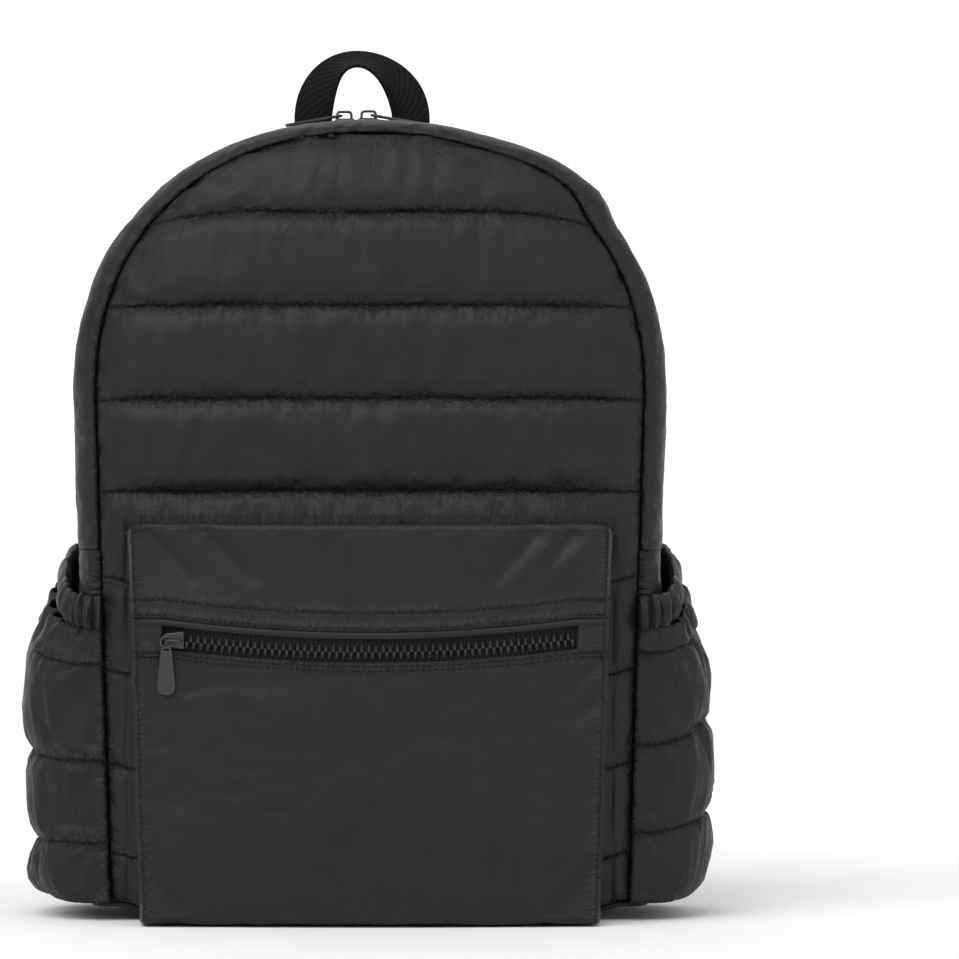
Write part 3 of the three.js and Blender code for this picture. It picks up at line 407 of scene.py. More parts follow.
def make_world():
    world = bpy.data.worlds.new("studio")
    world.use_nodes = True
    sky = world.node_tree.nodes["Background"]
    sky.inputs["Color"].default_value = linear("#ffffff")
    sky.inputs["Strength"].default_value = 0.45
    bpy.context.scene.world = world


make_floor()
make_world()
add_sun("key", (-1.6, -2.6, 2.9), 55, 2.2)
add_sun("fill", (2.4, -2.0, 1.6), 80, 0.9)
add_sun("back", (-0.6, 2.8, 1.8), 80, 0.8)
bpy.context.scene.view_settings.view_transform = "Standard"

# %% [markdown]
# ## How a panel is made
# Every sewn panel starts as a flat grid, as the cloth did on the cutting table. A function gives
# each point of the grid its place on the bag, so the grid's own rows and columns follow the seams.
# The grid keeps a UV map in metres, which the weave follows. Points on a seam are remembered,
# because the cloth solver must hold them still. The stuffed bag isn't quite even: its right
# shoulder stands out further than its left one, so one function moves every piece there alike.

# %% Helpers for panels
SEAM_FADE = 3.2
RIGHT_SHOULDER = 8.0
SHOULDER_Z = (372.0, 398.0)
SHOULDER_X = (50.0, 95.0)
FOOT_LIFT = 8.0
CURL_FROM = 108.0
CURL_FULL = 136.0
CURL_HEIGHT = 80.0
FAR_OFF = 99.0
soft_pieces = []


def lerp(a, b, share):
    return a + (b - a) * share


def clamp(value, low=0.0, high=1.0):
    return min(max(value, low), high)


def ramp_up(value, start, end):
    """From 0 at start to 1 at end, without corners."""
    share = clamp((value - start) / (end - start))
    return share * share * (3 - 2 * share)


def ripple(a, b=0.0, c=0.0):
    """Smooth noise from about -1 to 1, the same each run."""
    return noise.noise(Vector((a, b + 0.5, c + 0.25))) * 1.6


def sway(point):
    up = ramp_up(point.z, *SHOULDER_Z)
    point.x += RIGHT_SHOULDER * up * ramp_up(point.x, *SHOULDER_X)
    return point


def lift_foot(point):
    """The bag stands on the middle of its base, and its soft lower corners curl up."""
    outwards = ramp_up(abs(point.x), CURL_FROM, CURL_FULL)
    point.z += FOOT_LIFT * outwards * clamp(1 - point.z / CURL_HEIGHT) ** 2
    return point


def new_piece(name, bm, material, body="bag"):
    mesh = bpy.data.meshes.new(name)
    bm.to_mesh(mesh)
    bm.free()
    mesh.materials.append(material)
    mesh.shade_smooth()
    piece = bpy.data.objects.new(name, mesh)
    bpy.context.scene.collection.objects.link(piece)
    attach(piece, body)
    return piece


def bent_grid(cols, rows, size, place):
    """A grid of cols by rows faces; place(u, w) gives a point in millimetres for shares 0 to 1."""
    bm = bmesh.new()
    bmesh.ops.create_grid(bm, x_segments=cols, y_segments=rows, size=0.5)
    cloth = bm.loops.layers.uv.new("cloth")
    for face in bm.faces:
        for loop in face.loops:
            u, w = loop.vert.co.x + 0.5, loop.vert.co.y + 0.5
            loop[cloth].uv = (u * size[0] * MM, w * size[1] * MM)
    shares = [(vert.co.x + 0.5, vert.co.y + 0.5) for vert in bm.verts]
    for vert, (u, w) in zip(bm.verts, shares):
        vert.co = sway(place(u, w)) * MM
    bm.normal_update()
    return bm, shares


def face_away(bm, inside):
    """Turns an open sheet's faces away from a point inside the bag."""
    bm.normal_update()
    side = sum((f.calc_center_median() - inside).dot(f.normal) * f.calc_area() for f in bm.faces)
    if side < 0:
        bmesh.ops.reverse_faces(bm, faces=bm.faces)


def add_wall(piece, wall, offset=-1.0):
    modifier = piece.modifiers.new("wall", "SOLIDIFY")
    modifier.thickness = wall * MM
    modifier.offset = offset
    modifier.use_even_offset = False
    modifier.use_rim = True


def mark_seams(bm, shares, distances):
    """Keeps how near each point is to level and upright seams; distances(u, w) is in mm."""
    layers = [bm.verts.layers.float.new(name) for name in ("level_seam", "upright_seam")]
    for vert, (u, w) in zip(bm.verts, shares):
        for layer, distance in zip(layers, distances(u, w)):
            vert[layer] = math.exp(-max(distance, 0.0) / SEAM_FADE)


def padded_panel(name, cols, rows, size, place, seams, held, wall, settle, material=None):
    """A padded panel: held(u, w) says how firmly a point is sewn, settle how the cloth is run."""
    bm, shares = bent_grid(cols, rows, size, place)
    face_away(bm, INSIDE)
    mark_seams(bm, shares, seams)
    piece = new_piece(name, bm, material or SHELL_NYLON)
    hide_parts(name.replace("cloth_", ""))
    soft_pieces.append({
        "piece": piece, "held": [held(u, w) for u, w in shares], "wall": wall, **settle})
    print(name, len(piece.data.vertices), "points")
    return piece


def turn_in(piece, chosen, move):
    """Turns chosen edges of a sheet inwards, as a seam allowance; move(point) gives the step."""
    bm = bmesh.new()
    bm.from_mesh(piece.data)
    rim = [e for e in bm.edges if e.is_boundary and all(chosen(v.co / MM) for v in e.verts)]
    made = bmesh.ops.extrude_edge_only(bm, edges=rim)["geom"]
    for part in made:
        if isinstance(part, bmesh.types.BMVert):
            part.co += move(part.co / MM) * MM
    bm.to_mesh(piece.data)
    bm.free()
    print(piece.name, "seam allowance of", len(rim), "edges")


# %% [markdown]
# ### Puckers beside a seam
# A lockstitch is tighter than the slippery cloth it holds, so the cloth beside it bunches: fine
# crimps a few millimetres long right at the thread, and wider gathers that fade out further off.

# %% Puckers


def pucker(along, away, seed, fine=0.8, wide=0.9):
    crimped = fine * ripple(along / 2.2, seed) * math.exp(-away / 3.0)
    gathered = wide * ripple(along / 9.0, away / 26.0, seed + 3.1) * math.exp(-away / 12.0)
    return (crimped + gathered) * clamp(away / 1.2)


# %% [markdown]
# The bag's outline is an arch on nearly straight sides. An inset draws the outline in, and over
# the top it draws in less, because the rolled edge is flatter there.

# %% Outline of the bag


def arch_rise(inset):
    return HEIGHT - ARCH_START - inset * TOP_ROLL_SHARE


def half_width(z, inset=0.0):
    if z <= ARCH_START:
        return HALF_WIDTH * (1 - SIDE_TAPER * (1 - z / ARCH_START)) - inset
    rise = min((z - ARCH_START) / arch_rise(inset), 1.0)
    return (HALF_WIDTH - inset) * (1 - rise ** ARCH_POWER) ** (1 / ARCH_POWER)


def seam_nearness(x, z):
    if z <= ARCH_START:
        return clamp(abs(x) / half_width(z, PANEL_INSET))
    across = abs(x) / (HALF_WIDTH - PANEL_INSET)
    up = (z - ARCH_START) / arch_rise(PANEL_INSET)
    return clamp((across ** ARCH_POWER + up ** ARCH_POWER) ** (1 / ARCH_POWER))


def swell(x, z, bulge):
    foot = 1 - ((FOOT_ROUNDING - z) / FOOT_ROUNDING) ** 2 if z < FOOT_ROUNDING else 1.0
    return bulge * (1 - seam_nearness(x, z) ** 4) * foot


# %% [markdown]
# ## Quilted front panel
# The front is an arch of cloth, fill and backing, stitched together in level lines two inches
# apart. The fill pushes each channel out into a flat-topped roll, and the roll falls steeply
# into the stitches. The grid has its rows on those lines, close together beside them and wide
# apart on the flat of the roll.

# %% Rows beside the stitches
NEAR_LINE = (0, 0.5, 1.2, 2.1, 3.3, 4.8, 6.6, 9.0, 12.5, 17.5)


def channel_rows(lines):
    """Each row's height, how far it is from the line below and above, and its channel."""
    rows = []
    for index, (low, high) in enumerate(zip(lines, lines[1:])):
        step = high - low
        near = [away for away in NEAR_LINE if away < step / 2 - 1]
        aways = near + [step / 2] + [step - away for away in reversed(near[1:])]
        rows += [(low + away, away, step - away, index) for away in aways]
    rows.append((lines[-1], step, 0.0, len(lines) - 2))
    return rows


def row_of(rows, w):
    return rows[round(w * (len(rows) - 1))]


def flat_roll(below, above, full):
    """Height of a roll that is flat on top and steep beside its lines."""
    share = below / (below + above)
    return full * (1 - abs(1 - 2 * share) ** 5)


def jag(along, below, above, seed):
    """The unsteady path of a line of stitches, in mm up or down."""
    low = ripple(along / 1.7, seed) * math.exp(-below / 2.5)
    high = ripple(along / 1.7, seed + 1) * math.exp(-above / 2.5)
    return 0.55 * (low + high)


# %% Front panel
PANEL_TOP = box_mm("front_panel")[1].z
FRONT_COLUMNS = 200
TOP_DROOP = 7.0
LINE_DROOP = 1.5
ARCH_REACH = 143.0
POCKET_HALF = 130.0
POCKET_TOP = box_mm("front_pocket_flap")[1].z
STRIP_LIFT = 5.0

front_lines = [PANEL_FOOT] + [FIRST_STITCH + CHANNEL * k for k in range(8)] + [PANEL_TOP]
front_rows = channel_rows(front_lines)


def front_edge_distance(x, z):
    if z < ARCH_START:
        return half_width(z, PANEL_INSET) - abs(x)
    return (1 - seam_nearness(x, z)) * ARCH_REACH


def front_column(u):
    side = 2 * u - 1
    return side * (1.12 - 0.12 * side * side)


def line_shift(x, z):
    """How far a stitch line lies off its level: lower at its ends, higher beside the pocket."""
    share = abs(x) / max(half_width(z, PANEL_INSET), 1)
    top = clamp((z - 330) / 50) * clamp((PANEL_TOP - z) / 25)
    shift = -TOP_DROOP * top * clamp((share - 0.55) / 0.45) ** 2
    shift -= LINE_DROOP * (1 - top) * share ** 6 * clamp((z - POCKET_TOP) / 40)
    beside = clamp((abs(x) - POCKET_HALF + 4) / 20) * clamp((POCKET_TOP - z) / 20)
    shift += STRIP_LIFT * beside * clamp(z / 40)
    return shift + 0.5 * ripple(x / 35, z / 90) * clamp(z / 40) * clamp((PANEL_TOP - z) / 30)


def front_point(u, w):
    flat, below, above, index = row_of(front_rows, w)
    z = flat + line_shift(front_column(u) * half_width(flat, PANEL_INSET), flat)
    x = front_column(u) * half_width(z, PANEL_INSET)
    nearness = seam_nearness(x, z)
    from_edge = front_edge_distance(x, z)
    full = PUFF * (0.8 if index == 8 else 1.0) * (1 - nearness ** 16)
    full *= 1 + 0.12 * ripple(x / 60, index * 3.0)
    if z < POCKET_TOP:
        full *= 1 - 0.8 * math.exp(-abs(abs(x) - POCKET_HALF) / 5)
    out = flat_roll(below, above, full)
    out += pucker(x, below, index) + pucker(x, above, index + 0.5)
    out += pucker(z, from_edge, 20 + (x > 0), 0.5, 0.5)
    if z > POCKET_TOP - 5:
        from_pocket = (abs(z - POCKET_TOP - 4) / 9) ** 2
        out += 1.6 * ripple(x / 9, 60) * math.exp(-from_pocket) * clamp((POCKET_HALF - abs(x)) / 9)
    tuck = lerp(1.2, 2.6, clamp((z - 150) / 100)) * math.exp(-from_edge / 2.0)
    y = FRONT_SEAM - swell(x, z, FRONT_BULGE) - out + tuck
    steady = clamp(from_edge / 6) * clamp(z / 20) * clamp((PANEL_TOP - z) / 5)
    return lift_foot(Vector((x, y, z + jag(x, below, above, index + 80) * steady)))


def front_seams(u, w):
    z, below, above, index = row_of(front_rows, w)
    x = front_column(u) * half_width(z, PANEL_INSET)
    if index == 0:
        below = 30
    if index == len(front_lines) - 2:
        above = 30
    # Just above the pocket the panel counts as beside a line of stitches, so its crimps grow there
    # and a painted shadow of the pocket's top falls along it.
    if abs(x) < POCKET_HALF - 3:
        above = min(above, abs(z - POCKET_TOP - 1.5))
    return min(below, above), front_edge_distance(x, z)


def front_held(u, w):
    _, below, above, _ = row_of(front_rows, w)
    if u < 0.003 or u > 0.997 or min(below, above) < 0.3:
        return 1.0
    return 0.12


def front_allowance(piece):
    turn_in(piece, lambda point: True, lambda point: Vector((0, 6, 0)))


padded_panel(
    "cloth_front_panel", FRONT_COLUMNS, len(front_rows) - 1, (295, 416), front_point, front_seams,
    front_held, 2.4, {"fullness": 0.016, "pressure": 0.7, "after": front_allowance})

# %% [markdown]
# ## Gusset
# The gusset is the band that runs over the arch and gives the bag its depth. Its front edge is
# rolled over the seam like a piping, full of fill, and it is eased round the arch, so it gathers
# most on the shoulders. The same function makes the band behind the zip, with the roll at the back.

# %% Gusset bands
SEAM_TUCK = 3.0
ARCH_SHARE = 0.72
BAND_SWELL = 0.6
WINDOW_EDGE = 2.0
BAND_RUN = 660.0


def arch_point(along, inset, y):
    """A point of the outline, from the left zip end over the top to the right one."""
    side_share = (1 - ARCH_SHARE) / 2
    if along < side_share or along > 1 - side_share:
        side = -1 if along < 0.5 else 1
        share = (along if along < 0.5 else 1 - along) / side_share
        z = lerp(ZIP_START, ARCH_START, share)
        return Vector((side * half_width(z, inset), y, z))
    angle = math.pi * (1 - (along - side_share) / ARCH_SHARE)
    across, up = math.cos(angle), max(math.sin(angle), 0.0)
    power = 2 / ARCH_POWER
    x = (HALF_WIDTH - inset) * math.copysign(abs(across) ** power, across)
    return Vector((x, y, ARCH_START + arch_rise(inset) * up ** power))


def roll_profile(distance, seam, direction, roll_depth, flat_end, lift):
    """Inset and depth of the band at a distance from its seam; lift raises it off its face."""
    roll = math.hypot(EDGE_ROLL, roll_depth) * 1.1
    flat_start = seam + direction * roll_depth
    if distance < roll:
        angle = math.pi / 2 * distance / roll
        out, back = math.sin(angle), math.cos(angle)
        tuck = SEAM_TUCK * math.exp(-distance / 1.6)
        inset = EDGE_ROLL * (1 - out) - lift * out
        return inset, seam + direction * (roll_depth * (1 - back) - lift * back + tuck)
    share = (distance - roll) / (abs(flat_end - flat_start))
    swollen = BAND_SWELL * math.sin(math.pi * clamp(share)) ** 0.8
    hem = WINDOW_EDGE * clamp((share - 0.97) / 0.03) ** 2
    return hem - swollen - lift, lerp(flat_start, flat_end, clamp(share))


# Folds pressed into the front roll: place along the band, slant, depth and width in millimetres
ROLL_FOLDS = [
    {"place": 0.452, "slant": 0.5, "depth": 3.0, "width": 2.6},
    {"place": 0.474, "slant": 0.6, "depth": 2.6, "width": 2.4},
    {"place": 0.490, "slant": 0.3, "depth": 1.6, "width": 3.0},
    {"place": 0.532, "slant": -0.3, "depth": 1.6, "width": 2.4},
    {"place": 0.560, "slant": -0.7, "depth": 2.2, "width": 2.6},
    {"place": 0.585, "slant": -0.8, "depth": 1.6, "width": 3.2},
    {"place": 0.300, "slant": 0.4, "depth": 1.6, "width": 2.8},
    {"place": 0.318, "slant": 0.4, "depth": 2.0, "width": 3.0},
    {"place": 0.338, "slant": 0.6, "depth": 1.4, "width": 3.2},
    {"place": 0.278, "slant": 0.3, "depth": 1.6, "width": 3.0},
    {"place": 0.690, "slant": -0.4, "depth": 1.8, "width": 3.0},
    {"place": 0.712, "slant": -0.4, "depth": 1.6, "width": 2.8},
    {"place": 0.735, "slant": -0.3, "depth": 1.4, "width": 3.2},
]


def roll_folds(run, away):
    total = 0.0
    for fold in ROLL_FOLDS:
        off = run - fold["place"] * BAND_RUN - fold["slant"] * away
        total += fold["depth"] * math.exp(-(off / fold["width"]) ** 2) * math.exp(-away / 9)
    return total


def no_folds(run, away):
    return 0.0


def gather_strength(along):
    shoulders = ((0.27, 0.07), (0.43, 0.05), (0.56, 0.05), (0.75, 0.07))
    return 0.4 + sum(math.exp(-((along - place) / spread) ** 2) for place, spread in shoulders)


def gusset_band(name, seam, direction, roll_depth, flat_end, seed, folds):
    roll = math.hypot(EDGE_ROLL, roll_depth) * 1.1
    length = roll + abs(flat_end - seam - direction * roll_depth)
    aways = [away for away in FINE_AWAYS if away < length - 4] + [length - 3, length - 1.5, length]

    def away_at(w):
        return aways[round(w * (len(aways) - 1))]

    def place(u, w):
        away = away_at(w)
        lift = gather_strength(u) * pucker(u * BAND_RUN, away, seed, 0.5, 0.9)
        lift += 0.6 * ripple(u * BAND_RUN / 34, away / 30, seed)
        lift -= folds(u * BAND_RUN, away)
        faded = lift * clamp((length - away) / 8)
        inset, y = roll_profile(away, seam, direction, roll_depth, flat_end, faded)
        return arch_point(u, inset, y)

    def seams(u, w):
        return min(away_at(w), length - away_at(w) + 2), FAR_OFF

    def held(u, w):
        firm = away_at(w) < 0.6 or length - away_at(w) < 4 or u < 0.002 or u > 0.998
        return 1.0 if firm else 0.15

    def allowance(piece):
        limit = seam * direction + SEAM_TUCK + 2
        turn_in(
            piece, lambda point: point.y * direction < limit and point.z > ZIP_START + 1,
            lambda point: Vector((0, 5 * direction, 0)))

    return padded_panel(
        name, 320, len(aways) - 1, (BAND_RUN, length), place, seams, held, 1.8,
        {"fullness": 0.01, "pressure": 0.15, "after": allowance})


FINE_AWAYS = (
    0, 0.6, 1.4, 2.4, 3.6, 5, 6.6, 8.4, 10.5, 13, 16, 19,
    22, 25.5, 29, 33, 37, 41, 45, 50, 55, 60, 65)
gusset_band(
    "cloth_gusset_front", FRONT_SEAM, 1, FRONT_ROLL_DEPTH, WINDOW_FRONT, 1.0, roll_folds)
gusset_band(
    "cloth_gusset_back", BACK_SEAM, -1, BACK_ROLL_DEPTH, WINDOW_BACK, 7.0, no_folds)

# %% [markdown]
# ## Sides, back and base
# Below the zip's ends the gusset goes on as a plain side panel, most of it behind the side pocket.
# The back is a smooth padded panel, and the base is a flat double layer.

# %% Side panels
SIDE_TOP = ZIP_START - SEAM_GAP


def side_place(side):
    def place(u, w):
        z = lerp(PANEL_FOOT, SIDE_TOP, w)
        y = lerp(FRONT_SEAM, BACK_SEAM, u)
        front_roll = clamp((FRONT_SEAM + FRONT_ROLL_DEPTH - y) / FRONT_ROLL_DEPTH)
        back_roll = clamp((y - BACK_SEAM + BACK_ROLL_DEPTH) / BACK_ROLL_DEPTH)
        rolled = EDGE_ROLL * (2 - math.sqrt(1 - front_roll ** 2) - math.sqrt(1 - back_roll ** 2))
        crease = 0.8 * ripple(y / 30, z / 40, side * 4.0) * math.sin(math.pi * u)
        return lift_foot(Vector((side * (half_width(z, rolled) + crease), y, z)))
    return place


def side_seams(u, w):
    return FAR_OFF, min(u, 1 - u) * (BACK_SEAM - FRONT_SEAM)


def side_held(u, w):
    return 1.0 if min(u, 1 - u, w, 1 - w) < 0.02 else 0.2


for side, word in ((-1, "left"), (1, "right")):
    padded_panel(
        f"cloth_side_panel_{word}", 48, 60, (BACK_SEAM - FRONT_SEAM, SIDE_TOP), side_place(side),
        side_seams, side_held, 4.0, {"fullness": 0.02, "pressure": 0.0})

# %% Back panel
back_rows = channel_rows([PANEL_FOOT, 60.0, 120.0, 180.0, 240.0, 300.0, 360.0, PANEL_TOP])


def back_point(u, w):
    z = row_of(back_rows, w)[0]
    x = (2 * u - 1) * half_width(z, PANEL_INSET)
    from_edge = front_edge_distance(x, z)
    out = 1.5 * (1 - math.exp(-from_edge / 6)) + 0.8 * ripple(x / 45, z / 45, 9.0)
    out += pucker(z + x, from_edge, 31)
    y = BACK_SEAM + swell(x, z, BACK_BULGE) + out - 3.5 * math.exp(-from_edge / 2.0) - 1.0
    return lift_foot(Vector((x, y, z)))


def back_seams(u, w):
    z = row_of(back_rows, w)[0]
    return FAR_OFF, front_edge_distance((2 * u - 1) * half_width(z, PANEL_INSET), z)


def back_held(u, w):
    return 1.0 if min(u, 1 - u, w, 1 - w) < 0.004 else 0.3


def back_allowance(piece):
    turn_in(piece, lambda point: True, lambda point: Vector((0, -5, 0)))


padded_panel(
    "cloth_back_panel", 110, len(back_rows) - 1, (295, 416), back_point, back_seams, back_held,
    2.4, {"fullness": 0.015, "pressure": 0.3, "after": back_allowance}, BACK_NYLON)

# %% Base panel
base_low, base_high = box_mm("base_panel")


def base_point(u, w):
    size = base_high - base_low
    x = lerp(base_low.x, base_high.x, u)
    y = lerp(base_low.y, base_high.y, w)
    corner = clamp((abs(x) - size.x / 2 + 14) / 14)
    corner_y = clamp((abs(y - (base_low.y + base_high.y) / 2) - size.y / 2 + 14) / 14)
    pull = 4 * corner * corner_y
    return lift_foot(Vector((x - math.copysign(pull, x), y - math.copysign(pull, y), base_high.z)))


def make_base():
    bm, _ = bent_grid(60, 24, tuple(base_high - base_low)[:2], base_point)
    piece = new_piece("cloth_base_panel", bm, SHELL_NYLON)
    add_wall(piece, base_high.z - base_low.z)
    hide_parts("base_panel")


make_base()

# %% [markdown]
# ## Front pocket
# The pocket is a shallow box of cloth with soft corners. Its face sits on four walls that turn
# back to the front panel. One function gives the face at any place, and the flap above the zip
# and the bag of the pocket below it are two pieces of the same surface. The flap's seam hangs
# lowest in the middle, and the grid's rows follow it, so the zip's window is a block of faces
# that is taken out.

# %% The pocket's surface
flap_high = box_mm("front_pocket_flap")[1]
lower_low = box_mm("front_pocket_lower")[0]
tape_low, tape_high = box_mm("front_zip_tape")
POCKET_BOTTOM = lower_low.z - 2.4
POCKET_BULGE = 9.0
POCKET_FACE = lower_low.y + POCKET_BULGE
POCKET_FOOT_HALF = 123.5
FRONT_ZIP_HEIGHT = 154.0
FRONT_ZIP_SAG = 7.0
WINDOW_HALF = 111.0
SEAM_ABOVE_TEETH = 11.0
WINDOW_FOOT = -17.0
WELT_HEIGHT = 3.6


def pocket_half(z):
    share = clamp((z - POCKET_BOTTOM) / (POCKET_TOP - POCKET_BOTTOM))
    return lerp(POCKET_FOOT_HALF, flap_high.x, share)


def teeth_height(x):
    share = clamp((x / WINDOW_HALF) ** 2)
    return FRONT_ZIP_HEIGHT - FRONT_ZIP_SAG * (1 - share)


def flap_seam(x):
    return teeth_height(x) + SEAM_ABOVE_TEETH


def pocket_face(x, z):
    share = clamp((z - POCKET_BOTTOM) / (POCKET_TOP - POCKET_BOTTOM))
    across = clamp(x / pocket_half(z), -1, 1)
    return POCKET_FACE - POCKET_BULGE * (1 - across ** 2) * (0.7 + 0.3 * math.sin(math.pi * share))


TURN_SHARE = 0.09
CORNER_SHARE = 0.028


def edge_profile(u):
    """Across the pocket: place from -1 to 1, how far forward from 0 to 1, and nearness to face."""
    side = 2 * u - 1
    edge = 1 - abs(side)
    if edge < TURN_SHARE:
        share = edge / TURN_SHARE
        forward = math.sin(math.pi / 2 * share) ** 0.8
        return math.copysign(1 - CORNER_SHARE * share ** 2, side), forward, share
    inner = abs(side) / (1 - TURN_SHARE)
    return math.copysign(inner * (1 - CORNER_SHARE), side), 1.0, 1.0


def panel_depth(x, z):
    return FRONT_SEAM - swell(x, z, FRONT_BULGE) - 1.0


# Creases in the pocket's cloth: start and end across and up in mm, how deep, how wide
CREASES = [
    {"start": (-119, 211), "end": (-96, 186), "depth": 3.6, "width": 4.5},
    {"start": (-90, 212), "end": (-64, 187), "depth": 3.6, "width": 4.5},
    {"start": (108, 209), "end": (95, 193), "depth": 3.2, "width": 4.5},
    {"start": (88, 209), "end": (68, 187), "depth": 3.0, "width": 5},
    {"start": (-128, 161), "end": (-110, 146), "depth": 2.2, "width": 2.2},
    {"start": (122, 142), "end": (106, 124), "depth": 1.6, "width": 4},
    {"start": (124, 122), "end": (108, 110), "depth": 1.2, "width": 5},
    {"start": (-124, 34), "end": (-110, 16), "depth": 1.8, "width": 6},
    {"start": (120, 30), "end": (104, 10), "depth": 1.8, "width": 6},
    {"start": (-97, 126), "end": (-90, 127), "depth": 1.5, "width": 2.5},
]


def creased(x, z):
    total = 0.0
    for crease in CREASES:
        (ax, az), (bx, bz) = crease["start"], crease["end"]
        run = Vector((bx - ax, bz - az))
        share = clamp(Vector((x - ax, z - az)).dot(run) / run.length_squared)
        away = (Vector((x, z)) - Vector((ax, az)) - run * share).length
        total += crease["depth"] * math.exp(-(away / crease["width"]) ** 2) * (1 - 0.6 * share)
    return total


def pocket_point(u, z, forward_up):
    across, forward, edge = edge_profile(u)
    x = across * pocket_half(z)
    back = panel_depth(x, min(z, POCKET_TOP))
    face = pocket_face(x, z)
    soft = 0.8 * ripple(x / 55, z / 40, 4.0) + 0.15 * ripple(x / 18, z / 16, 8.0)
    soft -= creased(x, z)
    from_side = (1 - abs(across)) * pocket_half(z)
    soft += pucker(z, from_side, 40 + across, 0.5, 0.5)
    y = lerp(back, face - soft * edge, forward * forward_up)
    return Vector((x, y, z))


# %% [markdown]
# Two stitch lines cross the flap and two run under the zip. Each one presses a narrow groove
# into the cloth, which the grid follows, and the thread is added on top of it afterwards.

# %% Grooves of the stitch lines
GROOVE_HALF = 1.1
STITCH_STRETCH = 1.4
POCKET_SEAM_IN = 3.0
EDGE_FROM_SEAM = 5.0
STITCH_LINES = {
    "flap_upper": {"above": 10.0, "groove": 0.7},
    "flap_lower": {"above": 1.6, "groove": 0.5},
    "under_zip": {"above": -18.3, "groove": 0.5},
    "under_zip_second": {"above": -20.7, "groove": 0.4},
}


def stitch_grooves(above_seam):
    depth = 0.0
    for line in STITCH_LINES.values():
        depth += line["groove"] * math.exp(-((above_seam - line["above"]) / GROOVE_HALF) ** 2)
    return depth


def stitch_distance(above_seam, names):
    """How far the nearest of the named lines is, stretched so that its shadow stays narrow."""
    return STITCH_STRETCH * min(abs(above_seam - STITCH_LINES[name]["above"]) for name in names)


# %% [markdown]
# The flap runs from its seam over the zip up the face, round a narrow sewn edge, and back along
# the top to the front panel. Its rows lie where its stitch lines and its edge need them.

# %% Flap
TOP_EDGE = 4.0
EDGE_RIDGE = 1.0
FLAP_HEIGHTS = (0.3, 0.9, 1.6, 2.3, 3.2, 5, 7, 8.5, 9.3, 10, 10.7, 11.5, 13, 15)
FLAP_FACE_ROWS = 18
FLAP_ROUND_ROWS = 6
FLAP_TOP_ROWS = 6
FLAP_ROWS = len(FLAP_HEIGHTS) + FLAP_FACE_ROWS + FLAP_ROUND_ROWS + FLAP_TOP_ROWS - 1


def flap_row(u, w):
    """The height and how far forward a point of the flap is, and what part it is in."""
    row = round(w * FLAP_ROWS)
    seam = flap_seam(edge_profile(u)[0] * POCKET_HALF)
    if row < len(FLAP_HEIGHTS):
        return seam + FLAP_HEIGHTS[row], 1.0, "face"
    row -= len(FLAP_HEIGHTS) - 1
    if row <= FLAP_FACE_ROWS:
        return lerp(seam + 15, POCKET_TOP - TOP_EDGE, row / FLAP_FACE_ROWS), 1.0, "face"
    row -= FLAP_FACE_ROWS
    if row <= FLAP_ROUND_ROWS:
        angle = math.pi / 2 * row / FLAP_ROUND_ROWS
        ridge = EDGE_RIDGE * math.exp(-((angle - 1.0) / 0.35) ** 2)
        z = POCKET_TOP - TOP_EDGE * (1 - math.sin(angle)) + ridge * 0.6
        return z, 1 - 0.12 * (1 - math.cos(angle)), "edge"
    share = (row - FLAP_ROUND_ROWS) / FLAP_TOP_ROWS
    return POCKET_TOP - 2.5 * math.sin(math.pi * share * 0.6), 0.88 * (1 - share), "top"


def flap_point(u, w):
    z, forward, part = flap_row(u, w)
    point = pocket_point(u, min(z, POCKET_TOP), forward)
    corner = clamp((abs(point.x) - POCKET_HALF + 9) / 9)
    point.z = z - 4.0 * corner ** 2 * clamp((z - POCKET_TOP + 14) / 14)
    if part == "face":
        above = z - flap_seam(point.x)
        point.y += stitch_grooves(above)
        point.y -= 1.2 * math.exp(-above / 4)
        point.y += pucker(point.x, POCKET_TOP - TOP_EDGE - z, 66, 0.2, 0.7)
    return point


def flap_seams(u, w):
    z, _, part = flap_row(u, w)
    side = (1 - abs(edge_profile(u)[0])) * POCKET_HALF
    above = z - flap_seam(edge_profile(u)[0] * POCKET_HALF)
    near = stitch_distance(above, ("flap_upper", "flap_lower"))
    return near if part == "face" else EDGE_FROM_SEAM, abs(side - POCKET_SEAM_IN)


def flap_held(u, w):
    if w < 0.02 or w > 0.98 or u < 0.01 or u > 0.99 or flap_row(u, w)[2] == "edge":
        return 1.0
    return 0.2


flap = padded_panel(
    "cloth_front_pocket_flap", 180, FLAP_ROWS, (300, 90), flap_point, flap_seams, flap_held, 1.8,
    {"fullness": 0.006, "pressure": 0.15})

# %% [markdown]
# The lower part starts under the foot, runs up the face, and ends in the narrow welt that hangs
# below the flap's seam. Between the welt and the double stitching is the zip's window.

# %% Pocket bag
WALL_ROWS = 6
FACE_ROWS = 54
UNDER_ZIP = (-23.5, -22, -21.3, -20.7, -20.1, -19.4, -18.8, -18.3, -17.7, WINDOW_FOOT)
ZIP_ROWS = (-13.5, -10, -7, -WELT_HEIGHT - 0.4)
WELT_ROWS = (-WELT_HEIGHT, -2.8, -1.8, -0.9, -0.3)
above_rows = UNDER_ZIP + ZIP_ROWS + WELT_ROWS
LOWER_ROWS = WALL_ROWS + FACE_ROWS + len(above_rows) - 1


def lower_row(u, w):
    row = round(w * LOWER_ROWS)
    seam = flap_seam(edge_profile(u)[0] * POCKET_HALF)
    if row <= WALL_ROWS:
        share = row / WALL_ROWS
        return POCKET_BOTTOM + 2.5 * share ** 3, math.sin(share * math.pi / 2)
    row -= WALL_ROWS
    if row < FACE_ROWS:
        return lerp(POCKET_BOTTOM + 2.5, seam + UNDER_ZIP[0], row / FACE_ROWS), 1.0
    return seam + above_rows[row - FACE_ROWS], 1.0


